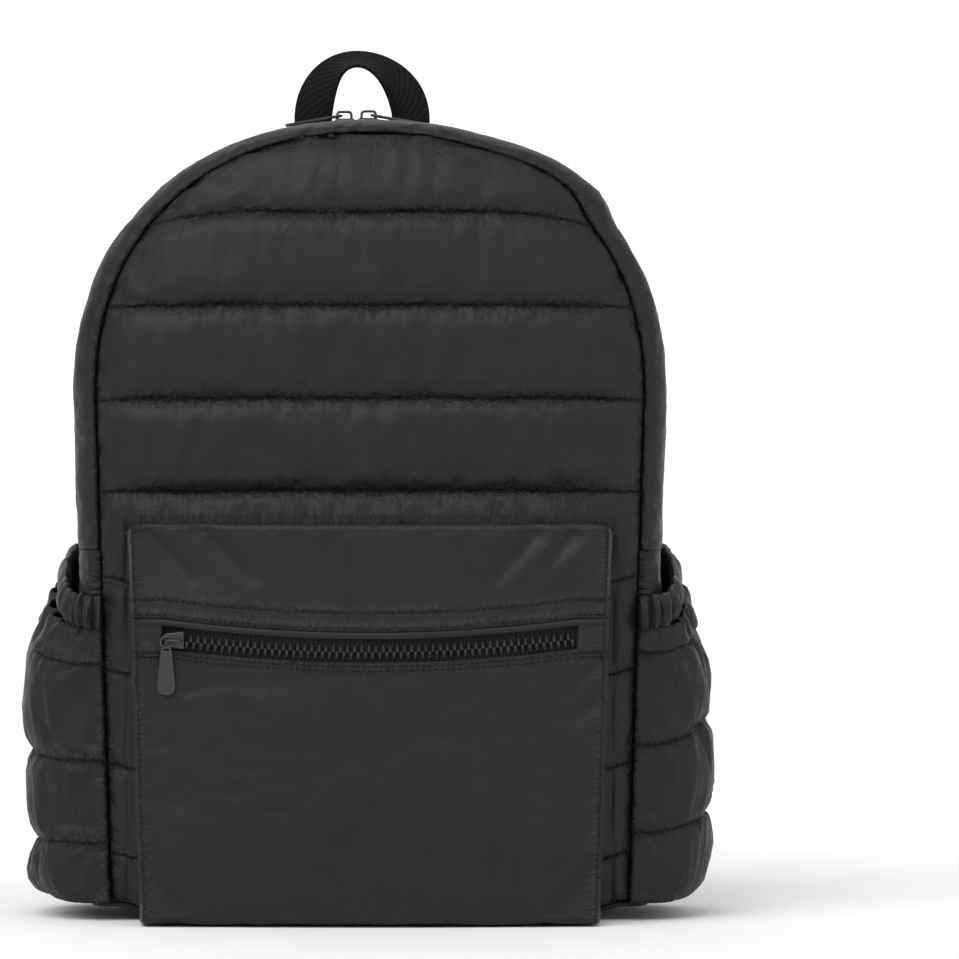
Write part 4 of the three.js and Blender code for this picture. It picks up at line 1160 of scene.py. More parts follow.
def lower_point(u, w):
    z, forward = lower_row(u, w)
    point = pocket_point(u, z, forward)
    above = z - flap_seam(point.x)
    point.y += stitch_grooves(above)
    if above > -WELT_HEIGHT - 0.1:
        point.y -= 1.1 * math.sin(math.pi * clamp(-above / WELT_HEIGHT)) ** 0.6
    tip = clamp((abs(point.x) - POCKET_FOOT_HALF + 16) / 16) * clamp((14 - z) / 14)
    point.y -= 1.5 * tip * forward
    return point


def lower_seams(u, w):
    z, _ = lower_row(u, w)
    side = (1 - abs(edge_profile(u)[0])) * POCKET_HALF
    above = z - flap_seam(edge_profile(u)[0] * POCKET_HALF)
    near = stitch_distance(above, ("under_zip", "under_zip_second"))
    return near, abs(side - POCKET_SEAM_IN)


def lower_held(u, w):
    if w < 0.03 or w > 1 - (len(above_rows) + 0.5) / LOWER_ROWS or u < 0.01 or u > 0.99:
        return 1.0
    return 0.1


def open_window(piece):
    """Takes out the faces between the welt and the stitching, which is the zip's window."""
    bm = bmesh.new()
    bm.from_mesh(piece.data)
    inside = []
    for face in bm.faces:
        place = face.calc_center_median() / MM
        above = place.z - flap_seam(place.x)
        in_window = WINDOW_FOOT < above < -WELT_HEIGHT - 0.25
        if abs(place.x) < WINDOW_HALF and in_window and place.y < FRONT_SEAM - FRONT_BULGE:
            inside.append(face)
    bmesh.ops.delete(bm, geom=inside, context="FACES")
    bm.to_mesh(piece.data)
    bm.free()
    print("window:", len(inside), "faces taken out")


lower = padded_panel(
    "cloth_front_pocket_lower", 190, LOWER_ROWS, (300, 190), lower_point, lower_seams, lower_held,
    1.8, {"fullness": 0.006, "pressure": 0.15, "after": open_window})

# %% [markdown]
# ## Side pockets
# Each side pocket is a quilted pouch, cut wider than its mouth and drawn in by an elastic band.
# Below the band the extra cloth stands up in folds, and the seams at front and back pucker.
# The elastic sits in a tube of cloth, which bunches into round gathers. The mouth slopes down
# towards the front, and the quilt lines follow it, less and less the lower they lie.

# %% Side pockets
POUCH_FOOT = 2.0
POUCH_TOP = 172.0
POUCH_REACH = {-1: 28.0, 1: 27.5}
UPPER_LOSS = {-1: 0.0, 1: 7.0}
FOOT_TURN = 14.0
POUCH_RUN = 210
POUCH_FOOT_REACH = 14.0
POUCH_FOOT_ROUND = 24.0
POUCH_PUFF = 4.5
POUCH_POWER = 3.0
POUCH_SPAN = (BACK_SEAM - FRONT_SEAM) / 2 + 3.5
POUCH_MIDDLE = (BACK_SEAM + FRONT_SEAM) / 2
BAND_REACH = 12.0
MOUTH_TILT = 14.0
FOLDS = 12
pouch_rows = channel_rows([POUCH_FOOT, 38.0, 88.0, 138.0, POUCH_TOP])


def pouch_reach(side, z):
    share = (z - POUCH_FOOT) / (POUCH_TOP - POUCH_FOOT)
    low = math.sqrt(1 - (1 - clamp((z - POUCH_FOOT) / POUCH_FOOT_ROUND)) ** 2.2)
    high = (1 - math.cos(clamp((share - 0.74) / 0.26) * math.pi)) / 2
    full = POUCH_REACH[side] - UPPER_LOSS[side] * ramp_up(z, 80, 130)
    return lerp(lerp(POUCH_FOOT_REACH, full, low), BAND_REACH, high)


def plan_point(side, angle, z, reach, span=POUCH_SPAN):
    power = 2 / POUCH_POWER
    along = math.cos(angle)
    x = half_width(z) - EDGE_ROLL + (reach + EDGE_ROLL) * math.sin(angle) ** power
    return Vector((side * x, POUCH_MIDDLE - span * math.copysign(abs(along) ** power, along), z))


def pouch_angle(u):
    return math.pi * clamp(u - 0.06 * math.sin(2 * math.pi * u))


def mouth_slope(point, z):
    """How far the pouch is raised at a point, from below zero at the front to above at the back."""
    share = clamp((z - 30) / (POUCH_TOP - 30)) ** 1.2
    return MOUTH_TILT * share * (point.y - POUCH_MIDDLE) / POUCH_SPAN


LINE_HEIGHTS = (POUCH_FOOT, 38.0, 88.0, 138.0, POUCH_TOP)
LINE_RISES = {-1: (0.0, 3.0, 3.5, 11.0, 0.0), 1: (0.0, 9.0, 12.0, 17.0, 0.0)}
OUTWARD_RISES = {-1: (0.0, 0.0, 0.0, 2.0, 0.0), 1: (0.0, 9.0, 9.0, 2.0, 0.0)}


def line_rise(side, angle, z):
    """How far the stuffed pouch has dragged its quilt lines up, most at its outer side."""
    index = min(sum(z >= height for height in LINE_HEIGHTS) - 1, 3)
    share = (z - LINE_HEIGHTS[index]) / (LINE_HEIGHTS[index + 1] - LINE_HEIGHTS[index])
    rise = lerp(LINE_RISES[side][index], LINE_RISES[side][index + 1], share)
    outward = lerp(OUTWARD_RISES[side][index], OUTWARD_RISES[side][index + 1], share)
    return rise + outward * math.sin(angle) ** 2


def fold_wave(u, seed):
    phase = u * FOLDS + 0.45 * ripple(u * 5, seed)
    return 1 - 2 * abs(math.sin(math.pi * phase)) ** 0.7


def pouch_place(side):
    def place(u, w):
        z, below, above, index = row_of(pouch_rows, w)
        angle = pouch_angle(u)
        run = u * POUCH_RUN
        from_edge = min(u, 1 - u) * POUCH_RUN
        seed = 50 + side * 7
        soft_edge = 1 - math.exp(-from_edge / 7)
        reach = pouch_reach(side, z) + flat_roll(below, above, POUCH_PUFF) * soft_edge
        from_band = POUCH_TOP - z
        lengths = 13 + 9 * ripple(u * 11, seed + 9)
        reach -= 4.4 * fold_wave(u, seed) * math.exp(-from_band / lengths) * soft_edge
        crumple = pucker(run, below, seed + index, 0.8, 2.0)
        crumple += pucker(run, above, seed + index + 0.5, 0.8, 2.0)
        crumple += 0.9 * ripple(run / 13, z / 17, seed + 4)
        reach += (crumple + 1.6 * ripple(run / 38, z / 30, seed)) * soft_edge
        side_folds = ripple(z / 4.2, seed + round(u)) * math.exp(-from_edge / 8)
        reach += 1.5 * side_folds * clamp(from_edge / 2)
        point = plan_point(side, angle, z, reach)
        steady = clamp(z / 20) * clamp(from_band / 4)
        point.z += mouth_slope(point, z) + jag(run, below, above, index + seed) * steady
        point.z += line_rise(side, angle, z)
        return lift_foot(point)
    return place


def pouch_seams(u, w):
    _, below, above, _ = row_of(pouch_rows, w)
    return min(below, above), min(u, 1 - u) * POUCH_RUN


def pouch_held(u, w):
    _, below, above, _ = row_of(pouch_rows, w)
    if u < 0.006 or u > 0.994 or w < 0.01 or w > 0.99:
        return 1.0
    return 0.8 if min(below, above) < 0.3 else 0.08


def pouch_allowance(piece):
    def at_seam(point):
        return abs(point.y - POUCH_MIDDLE) > POUCH_SPAN - 3 and point.z > POUCH_FOOT + 1

    def at_foot(point):
        return point.z < 24 and not at_seam(point)

    turn_in(piece, at_seam, lambda point: Vector((0, 3.5 if point.y < POUCH_MIDDLE else -3.5, 0)))
    turn_in(piece, at_foot, lambda point: Vector((math.copysign(FOOT_TURN, -point.x), 0, 1)))


for side, word in ((-1, "left"), (1, "right")):
    padded_panel(
        f"cloth_side_pocket_{word}", 150, len(pouch_rows) - 1, (POUCH_RUN, 175), pouch_place(side),
        pouch_seams, pouch_held, 2.0,
        {"fullness": 0.035, "pressure": 0.5, "after": pouch_allowance})

# %% [markdown]
# A tube is a grid whose two long edges meet. Its section is a flattened ring, and the ring is
# carried along the pocket's mouth. Between two gathers the ring is fuller.

# %% Elastic bands
BAND_GATHERS = 10
BAND_HALF_HEIGHT = 9.2
BAND_HALF_WALL = 3.0
BAND_MIDDLE = 180.0


def tube_piece(name, cols, rows, size, place, material, node):
    bm, _ = bent_grid(cols, rows, size, place)
    bmesh.ops.remove_doubles(bm, verts=bm.verts, dist=1e-6)
    open_edges = [edge for edge in bm.edges if edge.is_boundary]
    bmesh.ops.holes_fill(bm, edges=open_edges, sides=0)
    bmesh.ops.recalc_face_normals(bm, faces=bm.faces)
    piece = new_piece(name, bm, material)
    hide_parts(node)
    print(name, len(piece.data.vertices), "points")
    return piece


def band_place(side):
    def place(u, w):
        angle = pouch_angle(u)
        turn = 2 * math.pi * w
        seed = 70 + side
        phase = u * BAND_GATHERS + 0.35 * ripple(u * 5, seed)
        full = abs(math.sin(math.pi * phase)) ** 0.5
        edge = clamp(min(u, 1 - u) * 14)
        outer = math.cos(turn) > 0
        out = math.cos(turn) * BAND_HALF_WALL * lerp(0.3, 1.7 if outer else 0.9, full)
        up = math.sin(turn) * BAND_HALF_HEIGHT * lerp(0.88, 1.04, full)
        out += 0.7 * ripple(u * 45, up / 6, seed) * edge
        reach = BAND_REACH - BAND_HALF_WALL + out
        point = plan_point(side, angle, BAND_MIDDLE, reach, POUCH_SPAN + out - 1.0)
        point.z += up + mouth_slope(point, POUCH_TOP) + 0.6 * ripple(u * 25, seed + 3)
        return point
    return place


for side, word in ((-1, "left"), (1, "right")):
    tube_piece(
        f"cloth_band_{word}", 210, 28, (190, 44), band_place(side), SHELL_NYLON,
        f"side_pocket_band_{word}")

# %% [markdown]
# ## Zips
# A moulded zip is two tapes with acetal teeth cast onto their edges. Each tooth is one small
# bevelled block, repeated along the chain by a loop, and the two rows interlock by half a pitch.

# %% Teeth and tapes
TOOTH_PITCH = 3.8
TEETH_THICK = 2.2


def add_tooth(bm, matrix, size, bevel):
    made = bmesh.ops.create_cube(bm, size=1.0)["verts"]
    bmesh.ops.scale(bm, vec=size * MM, verts=made)
    if bevel:
        edges = list({edge for vert in made for edge in vert.link_edges})
        out = bmesh.ops.bevel(
            bm, geom=edges, offset=bevel * MM, segments=1, profile=0.5, affect="EDGES", material=-1)
        kept = {vert for vert in made if vert.is_valid}
        made = list({vert for face in out["faces"] for vert in face.verts} | kept)
    bmesh.ops.transform(bm, matrix=matrix, verts=made)


def frame_matrix(place, along, out):
    """A frame with x along the zip, y across it and z out of the cloth."""
    along = along.normalized()
    out = (out - along * out.dot(along)).normalized()
    across = out.cross(along)
    rotation = Matrix((along, across, out)).transposed().to_4x4()
    return Matrix.Translation(place * MM) @ rotation


def front_chain_place(x, lift):
    z = teeth_height(x)
    return Vector((x, pocket_face(x, z) + 3.0 - lift, z))


def make_front_teeth():
    low, high = box_mm("front_zip_teeth")
    bm = bmesh.new()
    count = int((high.x - low.x) / TOOTH_PITCH * 2)
    for index in range(count):
        x = low.x + 1.2 + index * TOOTH_PITCH / 2
        row = 1 if index % 2 else -1
        place = front_chain_place(x, TEETH_THICK / 2)
        ahead = front_chain_place(x + 1, TEETH_THICK / 2)
        matrix = frame_matrix(place, ahead - place, Vector((0, -1, 0)))
        head = Matrix.Translation(Vector((0, row * 1.0, 0)) * MM)
        neck = Matrix.Translation(Vector((0, row * 2.3, -0.2)) * MM)
        add_tooth(bm, matrix @ head, Vector((1.75, 2.6, TEETH_THICK)), 0.3)
        add_tooth(bm, matrix @ neck, Vector((1.1, 2.2, TEETH_THICK * 0.7)), 0.0)
    piece = new_piece("front_zip_chain", bm, ACETAL_TEETH)
    piece.data.shade_flat()
    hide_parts("front_zip_teeth")
    print("front zip:", count, "teeth")


def make_main_teeth(word):
    low, high = box_mm(f"main_zip_teeth_{word}")
    bm = bmesh.new()
    count = 0
    steps = 1400
    travelled = 0.0
    last = sway(arch_point(0.0, 0.6, ZIP_LINE))
    for k in range(1, steps):
        place = sway(arch_point(k / steps, 0.6, ZIP_LINE))
        travelled += (place - last).length
        step_along = place - last
        last = place
        if travelled < TOOTH_PITCH / 2:
            continue
        travelled -= TOOTH_PITCH / 2
        count += 1
        if not low.x - 0.5 < arch_point(k / steps, 0.6, ZIP_LINE).x < high.x + 0.5:
            continue
        if place.z < low.z:
            continue
        inward = sway(arch_point(k / steps, 4.0, ZIP_LINE))
        matrix = frame_matrix(place, step_along, place - inward)
        row = 1 if count % 2 else -1
        shifted = Matrix.Translation(Vector((0, row * 1.3, 0)) * MM)
        add_tooth(bm, matrix @ shifted, Vector((1.75, 3.2, TEETH_THICK)), 0.0)
    piece = new_piece(f"main_zip_chain_{word}", bm, ACETAL_TEETH)
    piece.data.shade_flat()
    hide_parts(f"main_zip_teeth_{word}")


def tape_piece(name, cols, rows, size, place, wall, node):
    bm, _ = bent_grid(cols, rows, size, place)
    face_away(bm, INSIDE)
    piece = new_piece(name, bm, ZIP_TAPE)
    add_wall(piece, wall)
    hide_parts(node)


def main_tape_point(u, w):
    return arch_point(u, 2.3, lerp(ZIP_LINE - 10.5, ZIP_LINE + 10.5, w))


def front_tape_point(u, w):
    x = lerp(tape_low.x, tape_high.x, u)
    z = teeth_height(x) + lerp(-11, 11, w)
    return Vector((x, pocket_face(x, z) + 3.6, z))


make_front_teeth()
make_main_teeth("left")
make_main_teeth("right")
tape_piece("main_zip_cloth", 220, 6, (660, 21), main_tape_point, 0.8, "main_zip_tape")
tape_piece("front_zip_cloth", 60, 6, (228, 22), front_tape_point, 0.8, "front_zip_tape")

# %% [markdown]
# ## Sliders and pull tabs
# A slider is a small cast body with a crown, the bridge that holds the pull tab. The tab is a
# flat plate with a raised rim and a round eye. Each is built once at its own size and then placed
# by the matrix of its hinge, taken from the frame's joints.

# %% Slider and tab shapes
SLIDER_SIZE = Vector((11.0, 10.0, 4.0))
CROWN_RADIUS = 0.75
PULL_THICK = 1.6
EYE_RADIUS = 3.0


def bar_along(bm, points, radius):
    """A round bar through a few points, made from a bevelled curve."""
    curve = bpy.data.curves.new("bar", "CURVE")
    curve.dimensions = "3D"
    curve.bevel_depth = radius * MM
    curve.bevel_resolution = 3
    curve.use_fill_caps = True
    spline = curve.splines.new("POLY")
    spline.points.add(len(points) - 1)
    for point, place in zip(spline.points, points):
        point.co = (*(Vector(place) * MM), 1.0)
    holder = bpy.data.objects.new("bar", curve)
    mesh = bpy.data.meshes.new_from_object(holder)
    bm.from_mesh(mesh)
    bpy.data.objects.remove(holder)
    bpy.data.curves.remove(curve)
    bpy.data.meshes.remove(mesh)


def slider_shape():
    """Length along x, out of the zip towards z, the crown's free end towards -x."""
    bm = bmesh.new()
    made = bmesh.ops.create_cube(bm, size=1.0)["verts"]
    bmesh.ops.scale(bm, vec=SLIDER_SIZE * MM, verts=made)
    for vert in made:
        if vert.co.x < 0:
            vert.co.y *= 0.72
        vert.co.z += SLIDER_SIZE.z / 2 * MM
    bmesh.ops.bevel(
        bm, geom=bm.edges[:], offset=1.1 * MM, segments=3, profile=0.5, affect="EDGES", material=-1)
    start, high = -4.0, 7.6
    bar_along(bm, [
        (start, 0, 3.4), (start, 0, high - 1.0),
        (start + 0.4, 0, high - 0.3), (start + 1.2, 0, high),
        (2.2, 0, high), (3.2, 0, high - 0.5), (3.6, 0, high - 1.2), (3.7, 0, 3.4),
    ], CROWN_RADIUS)
    bmesh.ops.recalc_face_normals(bm, faces=bm.faces)
    return bm


def pull_shape():
    """The middle of the eye at the origin, the tab towards -x, flat in z = 0."""
    bm = bmesh.new()
    outline = [(-4.6, 3.0), (-23.2, 4.9), (-25.6, 4.6), (-27.3, 3.4), (-28.2, 1.2)]
    outline += [(x, -y) for x, y in reversed(outline)]
    corners = [bm.verts.new(Vector((x, y, -PULL_THICK / 2)) * MM) for x, y in outline]
    face = bmesh.ops.contextual_create(bm, geom=corners)["faces"][0]
    top = bmesh.ops.extrude_face_region(bm, geom=[face])["geom"]
    raised = [g for g in top if isinstance(g, bmesh.types.BMVert)]
    bmesh.ops.translate(bm, vec=(0, 0, PULL_THICK * MM), verts=raised)
    bmesh.ops.recalc_face_normals(bm, faces=bm.faces)
    plates = [f for f in bm.faces if abs(f.normal.z) > 0.9]
    bmesh.ops.bevel(
        bm, geom=list({e for f in plates for e in f.edges}), offset=0.28 * MM, segments=2,
        profile=0.5, affect="EDGES", material=-1)
    level = [face for face in bm.faces if abs(face.normal.z) > 0.99]
    plates = sorted(level, key=lambda face: -face.calc_area())[:2]
    for plate in plates:
        bmesh.ops.inset_region(
            bm, faces=[plate], thickness=0.9 * MM, depth=0.0, use_even_offset=True)
        bmesh.ops.inset_region(
            bm, faces=[plate], thickness=0.25 * MM, depth=-0.35 * MM, use_even_offset=True)
    ring = bmesh.ops.create_circle(bm, segments=8, radius=0.8 * MM, cap_ends=False)["verts"]
    bmesh.ops.rotate(bm, cent=(0, 0, 0), matrix=Matrix.Rotation(math.pi / 2, 3, "X"), verts=ring)
    bmesh.ops.translate(bm, vec=(EYE_RADIUS * MM, 0, 0), verts=ring)
    edges = list({edge for vert in ring for edge in vert.link_edges})
    bmesh.ops.spin(
        bm, geom=ring + edges, cent=(0, 0, 0), axis=(0, 0, 1), angle=2 * math.pi, steps=28,
        use_merge=True, use_duplicate=False)
    for place in (-1, 1):
        bar_along(bm, [(-3.0, place * 1.9, 0), (-5.6, place * 2.3, 0)], 0.8)
    bmesh.ops.recalc_face_normals(bm, faces=bm.faces)
    return bm


joints = {joint["child"]: joint for joint in frame["joints"]}


def place_hardware(shape, name, matrix, body, node):
    bm = shape()
    bmesh.ops.transform(bm, matrix=matrix, verts=bm.verts)
    piece = new_piece(name, bm, ENAMELLED_ZINC, body=body)
    modifier = piece.modifiers.new("edges", "WEIGHTED_NORMAL")
    modifier.keep_sharp = True
    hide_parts(node)


def hardware_matrix(origin, x_axis, z_axis):
    x_axis = Vector(x_axis).normalized()
    z_axis = Vector(z_axis).normalized()
    rotation = Matrix((x_axis, z_axis.cross(x_axis), z_axis)).transposed().to_4x4()
    return Matrix.Translation(origin) @ rotation


def middle_of(node):
    low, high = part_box(node)
    return (low + high) / 2


# %% Place the sliders and their tabs
EYE_BELOW_HINGE = 0.9
RIM_FROM_EYE = 3.0
TAB_SLOPE = math.radians(10.0)

front_seat = middle_of("front_slider")
front_seat.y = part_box("front_slider")[1].y
place_hardware(
    slider_shape, "front_zip_slider", hardware_matrix(front_seat, (1, 0, 0), (0, -1, 0)), "bag",
    "front_slider")
front_hinge = Vector(joints["front_pull"]["pos_m"])
front_eye = front_hinge + Vector((0, 0, -EYE_BELOW_HINGE * MM))
place_hardware(
    pull_shape, "front_zip_tab", hardware_matrix(front_eye, (0, 0, 1), (0, -1, 0)), "front_pull",
    "front_puller")

for word, side in (("left", 1), ("right", -1)):
    seat = middle_of(f"main_slider_{word}")
    seat.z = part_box(f"main_slider_{word}")[0].z
    place_hardware(
        slider_shape, f"main_zip_slider_{word}", hardware_matrix(seat, (side, 0, 0), (0, 0, 1)),
        "bag", f"main_slider_{word}")
    along = Vector((side * math.cos(TAB_SLOPE), 0, math.sin(TAB_SLOPE)))
    hinge = Vector(joints[f"main_pull_{word}"]["pos_m"])
    normal = Vector((-side * math.sin(TAB_SLOPE), 0, math.cos(TAB_SLOPE)))
    place_hardware(
        pull_shape, f"main_zip_tab_{word}",
        hardware_matrix(hinge - along * RIM_FROM_EYE * MM, along, normal),
        f"main_pull_{word}", f"main_puller_{word}")

# %% [markdown]
# ## Carry handle
# The handle is one length of webbing, folded over into an arch. Its ends face front, flat against
# the back seam, and it turns as it rises, so that its top is seen partly edge on.

# %% Carry handle
handle_low, handle_high = box_mm("carry_handle")
HANDLE_OFFSET = (handle_low.x + handle_high.x) / 2
WEBBING_WIDTH = 21.0
WEBBING_WALL = 2.0
LEG_SPACING = handle_high.x - handle_low.x - WEBBING_WIDTH
HANDLE_TWIST = math.radians(66)
HANDLE_TOP = HEIGHT + 36.5
SPRINGING = HEIGHT + 4.0
HANDLE_DEPTH = BACK_SEAM + 1.6
LEG_SHARE = 0.16


def handle_centre(u):
    """The middle line of the webbing and how far it has turned, 0 on the legs, 1 at the top."""
    half = LEG_SPACING / 2
    if u < LEG_SHARE or u > 1 - LEG_SHARE:
        side = -1 if u < 0.5 else 1
        share = min(u, 1 - u) / LEG_SHARE
        z = lerp(handle_low.z, SPRINGING, share)
        return Vector((side * half, 0, z)), 0.0
    angle = math.pi * (1 - (u - LEG_SHARE) / (1 - 2 * LEG_SHARE))
    lean = -2.7 * math.sin(angle) ** 2 - 0.8 * math.sin(2 * angle)
    top = SPRINGING + (HANDLE_TOP - SPRINGING) * math.sin(angle)
    return Vector((half * math.cos(angle) + lean, 0, top)), math.sin(angle) ** 1.3


def handle_point(u, w):
    centre, turn = handle_centre(u)
    before, after = handle_centre(max(u - 0.01, 0))[0], handle_centre(min(u + 0.01, 1))[0]
    along = (after - before).normalized()
    across = Vector((along.z, 0, -along.x))
    angle = HANDLE_TWIST * turn
    wide = across * math.cos(angle) + Vector((0, -math.sin(angle), 0))
    thick = along.cross(wide)
    middle = Vector((HANDLE_OFFSET, HANDLE_DEPTH, 0)) + centre
    cupped = 1.6 * turn * (1 - (2 * w - 1) ** 2)
    return middle + wide * (WEBBING_WIDTH * (w - 0.5)) + thick * cupped


def make_handle():
    bm, _ = bent_grid(110, 14, (140, WEBBING_WIDTH), handle_point)
    bmesh.ops.recalc_face_normals(bm, faces=bm.faces)
    piece = new_piece("webbing_carry_handle", bm, WEBBING)
    add_wall(piece, WEBBING_WALL, 0.0)
    rounding = piece.modifiers.new("edges", "BEVEL")
    rounding.width = 0.4 * MM
    rounding.segments = 2
    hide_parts("carry_handle")


make_handle()

# %% [markdown]
# ## Shoulder straps
# The straps are out of sight in the photograph, so they are finished plainly: a padded strap
# with a bound edge, a short keeper, a ladder-lock adjuster, the webbing and a sewn anchor tab.

# %% Shoulder straps
# Each row is a place down the strap: share of its drop, bow off the back as a share of the full
# bow, and share of the way from the top spacing to the end spacing
STRAP_ROUTE = [
    {"drop": 0, "bow": 0, "out": 0},
    {"drop": 0.05, "bow": 0.06, "out": 0.02},
    {"drop": 0.14, "bow": 0.4, "out": 0.07},
    {"drop": 0.26, "bow": 0.8, "out": 0.17},
    {"drop": 0.4, "bow": 1, "out": 0.34},
    {"drop": 0.55, "bow": 0.98, "out": 0.54},
    {"drop": 0.7, "bow": 0.76, "out": 0.74},
    {"drop": 0.85, "bow": 0.5, "out": 0.9},
    {"drop": 1, "bow": 0.3, "out": 1},
]
STRAP_WIDTH = 58.0
STRAP_WALL = 10.0
STRAP_BOW = 28.0
STRAP_TOP = 396.0
STRAP_END = 122.0
STRAP_TOP_X = 46.0
STRAP_END_X = 106.0


def strap_centre(side, u):
    place = u * (len(STRAP_ROUTE) - 1)
    index = min(int(place), len(STRAP_ROUTE) - 2)
    share = place - index
    ease = share * share * (3 - 2 * share)
    low, high = STRAP_ROUTE[index], STRAP_ROUTE[index + 1]
    drop = lerp(low["drop"], high["drop"], share)
    bow = lerp(low["bow"], high["bow"], 0.5 * (share + ease))
    z = lerp(STRAP_TOP, STRAP_END, drop)
    x = lerp(STRAP_TOP_X, STRAP_END_X, lerp(low["out"], high["out"], share))
    y = BACK_SEAM + swell(x, z, BACK_BULGE) + SEAM_GAP + 1 + STRAP_WALL / 2 + STRAP_BOW * bow
    return Vector((side * x, y, z))


def strap_place(side):
    def place(u, w):
        centre = strap_centre(side, u)
        ahead, behind = strap_centre(side, min(u + 0.01, 1)), strap_centre(side, max(u - 0.01, 0))
        along = (ahead - behind).normalized()
        thick = (Vector((0, 1, 0)) - along * along.y).normalized()
        wide = thick.cross(along)
        turn = 2 * math.pi * w
        across = math.copysign(abs(math.cos(turn)) ** 0.55, math.cos(turn))
        through = math.copysign(abs(math.sin(turn)) ** 0.8, math.sin(turn))
        half = STRAP_WIDTH / 2 * (1 - 0.2 * clamp(1 - u * 9) - 0.2 * clamp((u - 0.9) * 10))
        bound = 1 - 0.42 * clamp((abs(across) - 0.84) / 0.03)
        soft = 1 + 0.08 * ripple(u * 9, across * 2, side)
        return centre + wide * (across * half) + thick * (through * STRAP_WALL / 2 * bound * soft)
    return place


def ribbon_between(name, node, material, wall):
    """A flat strap that fills its node's box from its top end to its foot."""
    low, high = box_mm(node)
    side = 1 if low.x > 0 else -1
    lean = (high.x - low.x - 25.0) * side
    top_x = (low.x + high.x) / 2 - lean / 2
    foot_x = (low.x + high.x) / 2 + lean / 2

    def place(u, w):
        z = lerp(high.z - 0.3, low.z + 0.3, w)
        x = lerp(top_x, foot_x, w) + (u - 0.5) * 24.6
        return Vector((x, lerp(high.y - 0.9, low.y + 0.9, w), z))

    bm, _ = bent_grid(14, 24, (25, high.z - low.z), place)
    face_away(bm, INSIDE)
    piece = new_piece(name, bm, material)
    add_wall(piece, wall, 0.0)
    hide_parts(node)


for side, word in ((-1, "left"), (1, "right")):
    tube_piece(
        f"padded_strap_{word}", 90, 40, (290, 130), strap_place(side), SHELL_NYLON,
        f"strap_pad_{word}")
    ribbon_between(f"webbing_keeper_{word}", f"strap_keeper_{word}", WEBBING, 1.6)
    ribbon_between(f"webbing_strap_{word}", f"strap_webbing_{word}", WEBBING, 1.6)
    for kind, material in (("adjuster", ACETAL_BUCKLE), ("anchor", WEBBING)):
        slots = frame["nodes"][f"strap_{kind}_{word}"].data.materials
        slots.clear()
        slots.append(material)

# %% [markdown]
# ## Let the cloth settle
# Now every padded panel goes through Blender's cloth solver at once. Its seams and stitch lines
# are held, its cloth is a little larger than the space between them, and a gentle pressure
# stands in for the fill. After a few steps the spare cloth has buckled into soft wrinkles.
# The result is written back to the mesh, no point moves further than a set limit, and the
# solver is removed.

# %% Cloth
SETTLE_FRAMES = 12
MOVE_LIMIT = 5.0


def hold_points(entry):
    piece = entry["piece"]
    group = piece.vertex_groups.new(name="held")
    for weight in sorted(set(entry["held"])):
        members = [index for index, held in enumerate(entry["held"]) if held == weight]
        group.add(members, weight, "REPLACE")
    cloth = piece.modifiers.new("cloth", "CLOTH")
    cloth.point_cache.frame_start = 1
    cloth.point_cache.frame_end = SETTLE_FRAMES
    settings = cloth.settings
    settings.quality = 4
    settings.mass = 0.1
    settings.tension_stiffness = 8
    settings.compression_stiffness = 8
    settings.shear_stiffness = 3
    settings.bending_stiffness = 0.05
    settings.air_damping = 2
    settings.vertex_group_mass = "held"
    settings.pin_stiffness = 1
    settings.shrink_min = -entry["fullness"]
    settings.use_pressure = True
    settings.uniform_pressure_force = entry["pressure"]
    settings.effector_weights.gravity = 0
    cloth.collision_settings.use_collision = False


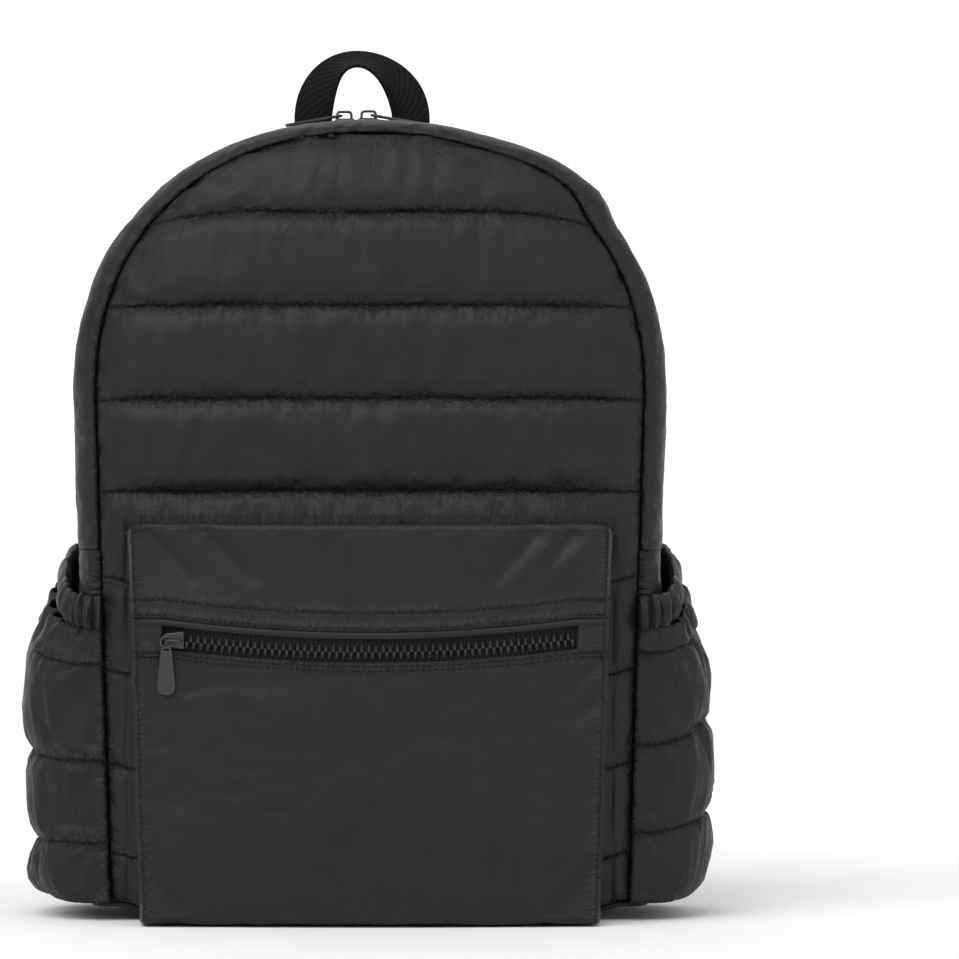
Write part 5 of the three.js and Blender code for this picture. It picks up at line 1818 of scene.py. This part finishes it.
def keep_result(entry, graph):
    piece = entry["piece"]
    settled = [vert.co.copy() for vert in piece.evaluated_get(graph).data.vertices]
    furthest = 0.0
    for vert, place in zip(piece.data.vertices, settled):
        move = place - vert.co
        furthest = max(furthest, move.length)
        if move.length > MOVE_LIMIT * MM:
            move *= MOVE_LIMIT * MM / move.length
        vert.co += move
    piece.modifiers.remove(piece.modifiers["cloth"])
    piece.vertex_groups.clear()
    print(piece.name, "moved up to", round(furthest / MM, 1), "mm")


def settle_all():
    scene = bpy.context.scene
    for entry in soft_pieces:
        hold_points(entry)
    for step in range(1, SETTLE_FRAMES + 1):
        scene.frame_set(step)
    graph = bpy.context.evaluated_depsgraph_get()
    for entry in soft_pieces:
        keep_result(entry, graph)
    scene.frame_set(1)


settle_all()

for entry in soft_pieces:
    if "after" in entry:
        entry["after"](entry["piece"])
    add_wall(entry["piece"], entry["wall"])

# %% [markdown]
# ## Topstitching
# The threads lie in their grooves after the cloth has settled: short capsules of thread, one
# for each stitch, at the pitch of a real seam.

# %% Thread
STITCH_PITCH = 3.2
STITCH_SIZE = Vector((2.3, 0.55, 0.5))
FLAP_THREAD_HALF = 122
ZIP_THREAD_HALF = 112


def make_thread(line, half_run, surface):
    above = STITCH_LINES[line]["above"]
    bm = bmesh.new()
    count = int(2 * half_run / STITCH_PITCH)
    for index in range(count):
        x = -half_run + (index + 0.5) * STITCH_PITCH
        z = flap_seam(x) + above
        place = surface(x, z)
        ahead = surface(x + 1, flap_seam(x + 1) + above)
        add_tooth(bm, frame_matrix(place, ahead - place, Vector((0, -1, 0))), STITCH_SIZE, 0.15)
    new_piece(f"thread_{line}", bm, THREAD)
    print(line, count, "stitches")


def cloth_surface(piece):
    """The settled cloth's depth at a place, found by a ray from the front."""
    graph = bpy.context.evaluated_depsgraph_get()
    shown = piece.evaluated_get(graph)

    def surface(x, z):
        start = Vector((x, -400, z)) * MM
        hit, place, _, _ = shown.ray_cast(start, Vector((0, 1, 0)))
        depth = place.y / MM if hit else pocket_face(x, z)
        return Vector((x, depth - 0.05, z))
    return surface


flap_cloth = cloth_surface(flap)
lower_cloth = cloth_surface(lower)
for line in ("flap_upper", "flap_lower"):
    make_thread(line, FLAP_THREAD_HALF, flap_cloth)
for line in ("under_zip", "under_zip_second"):
    make_thread(line, ZIP_THREAD_HALF, lower_cloth)
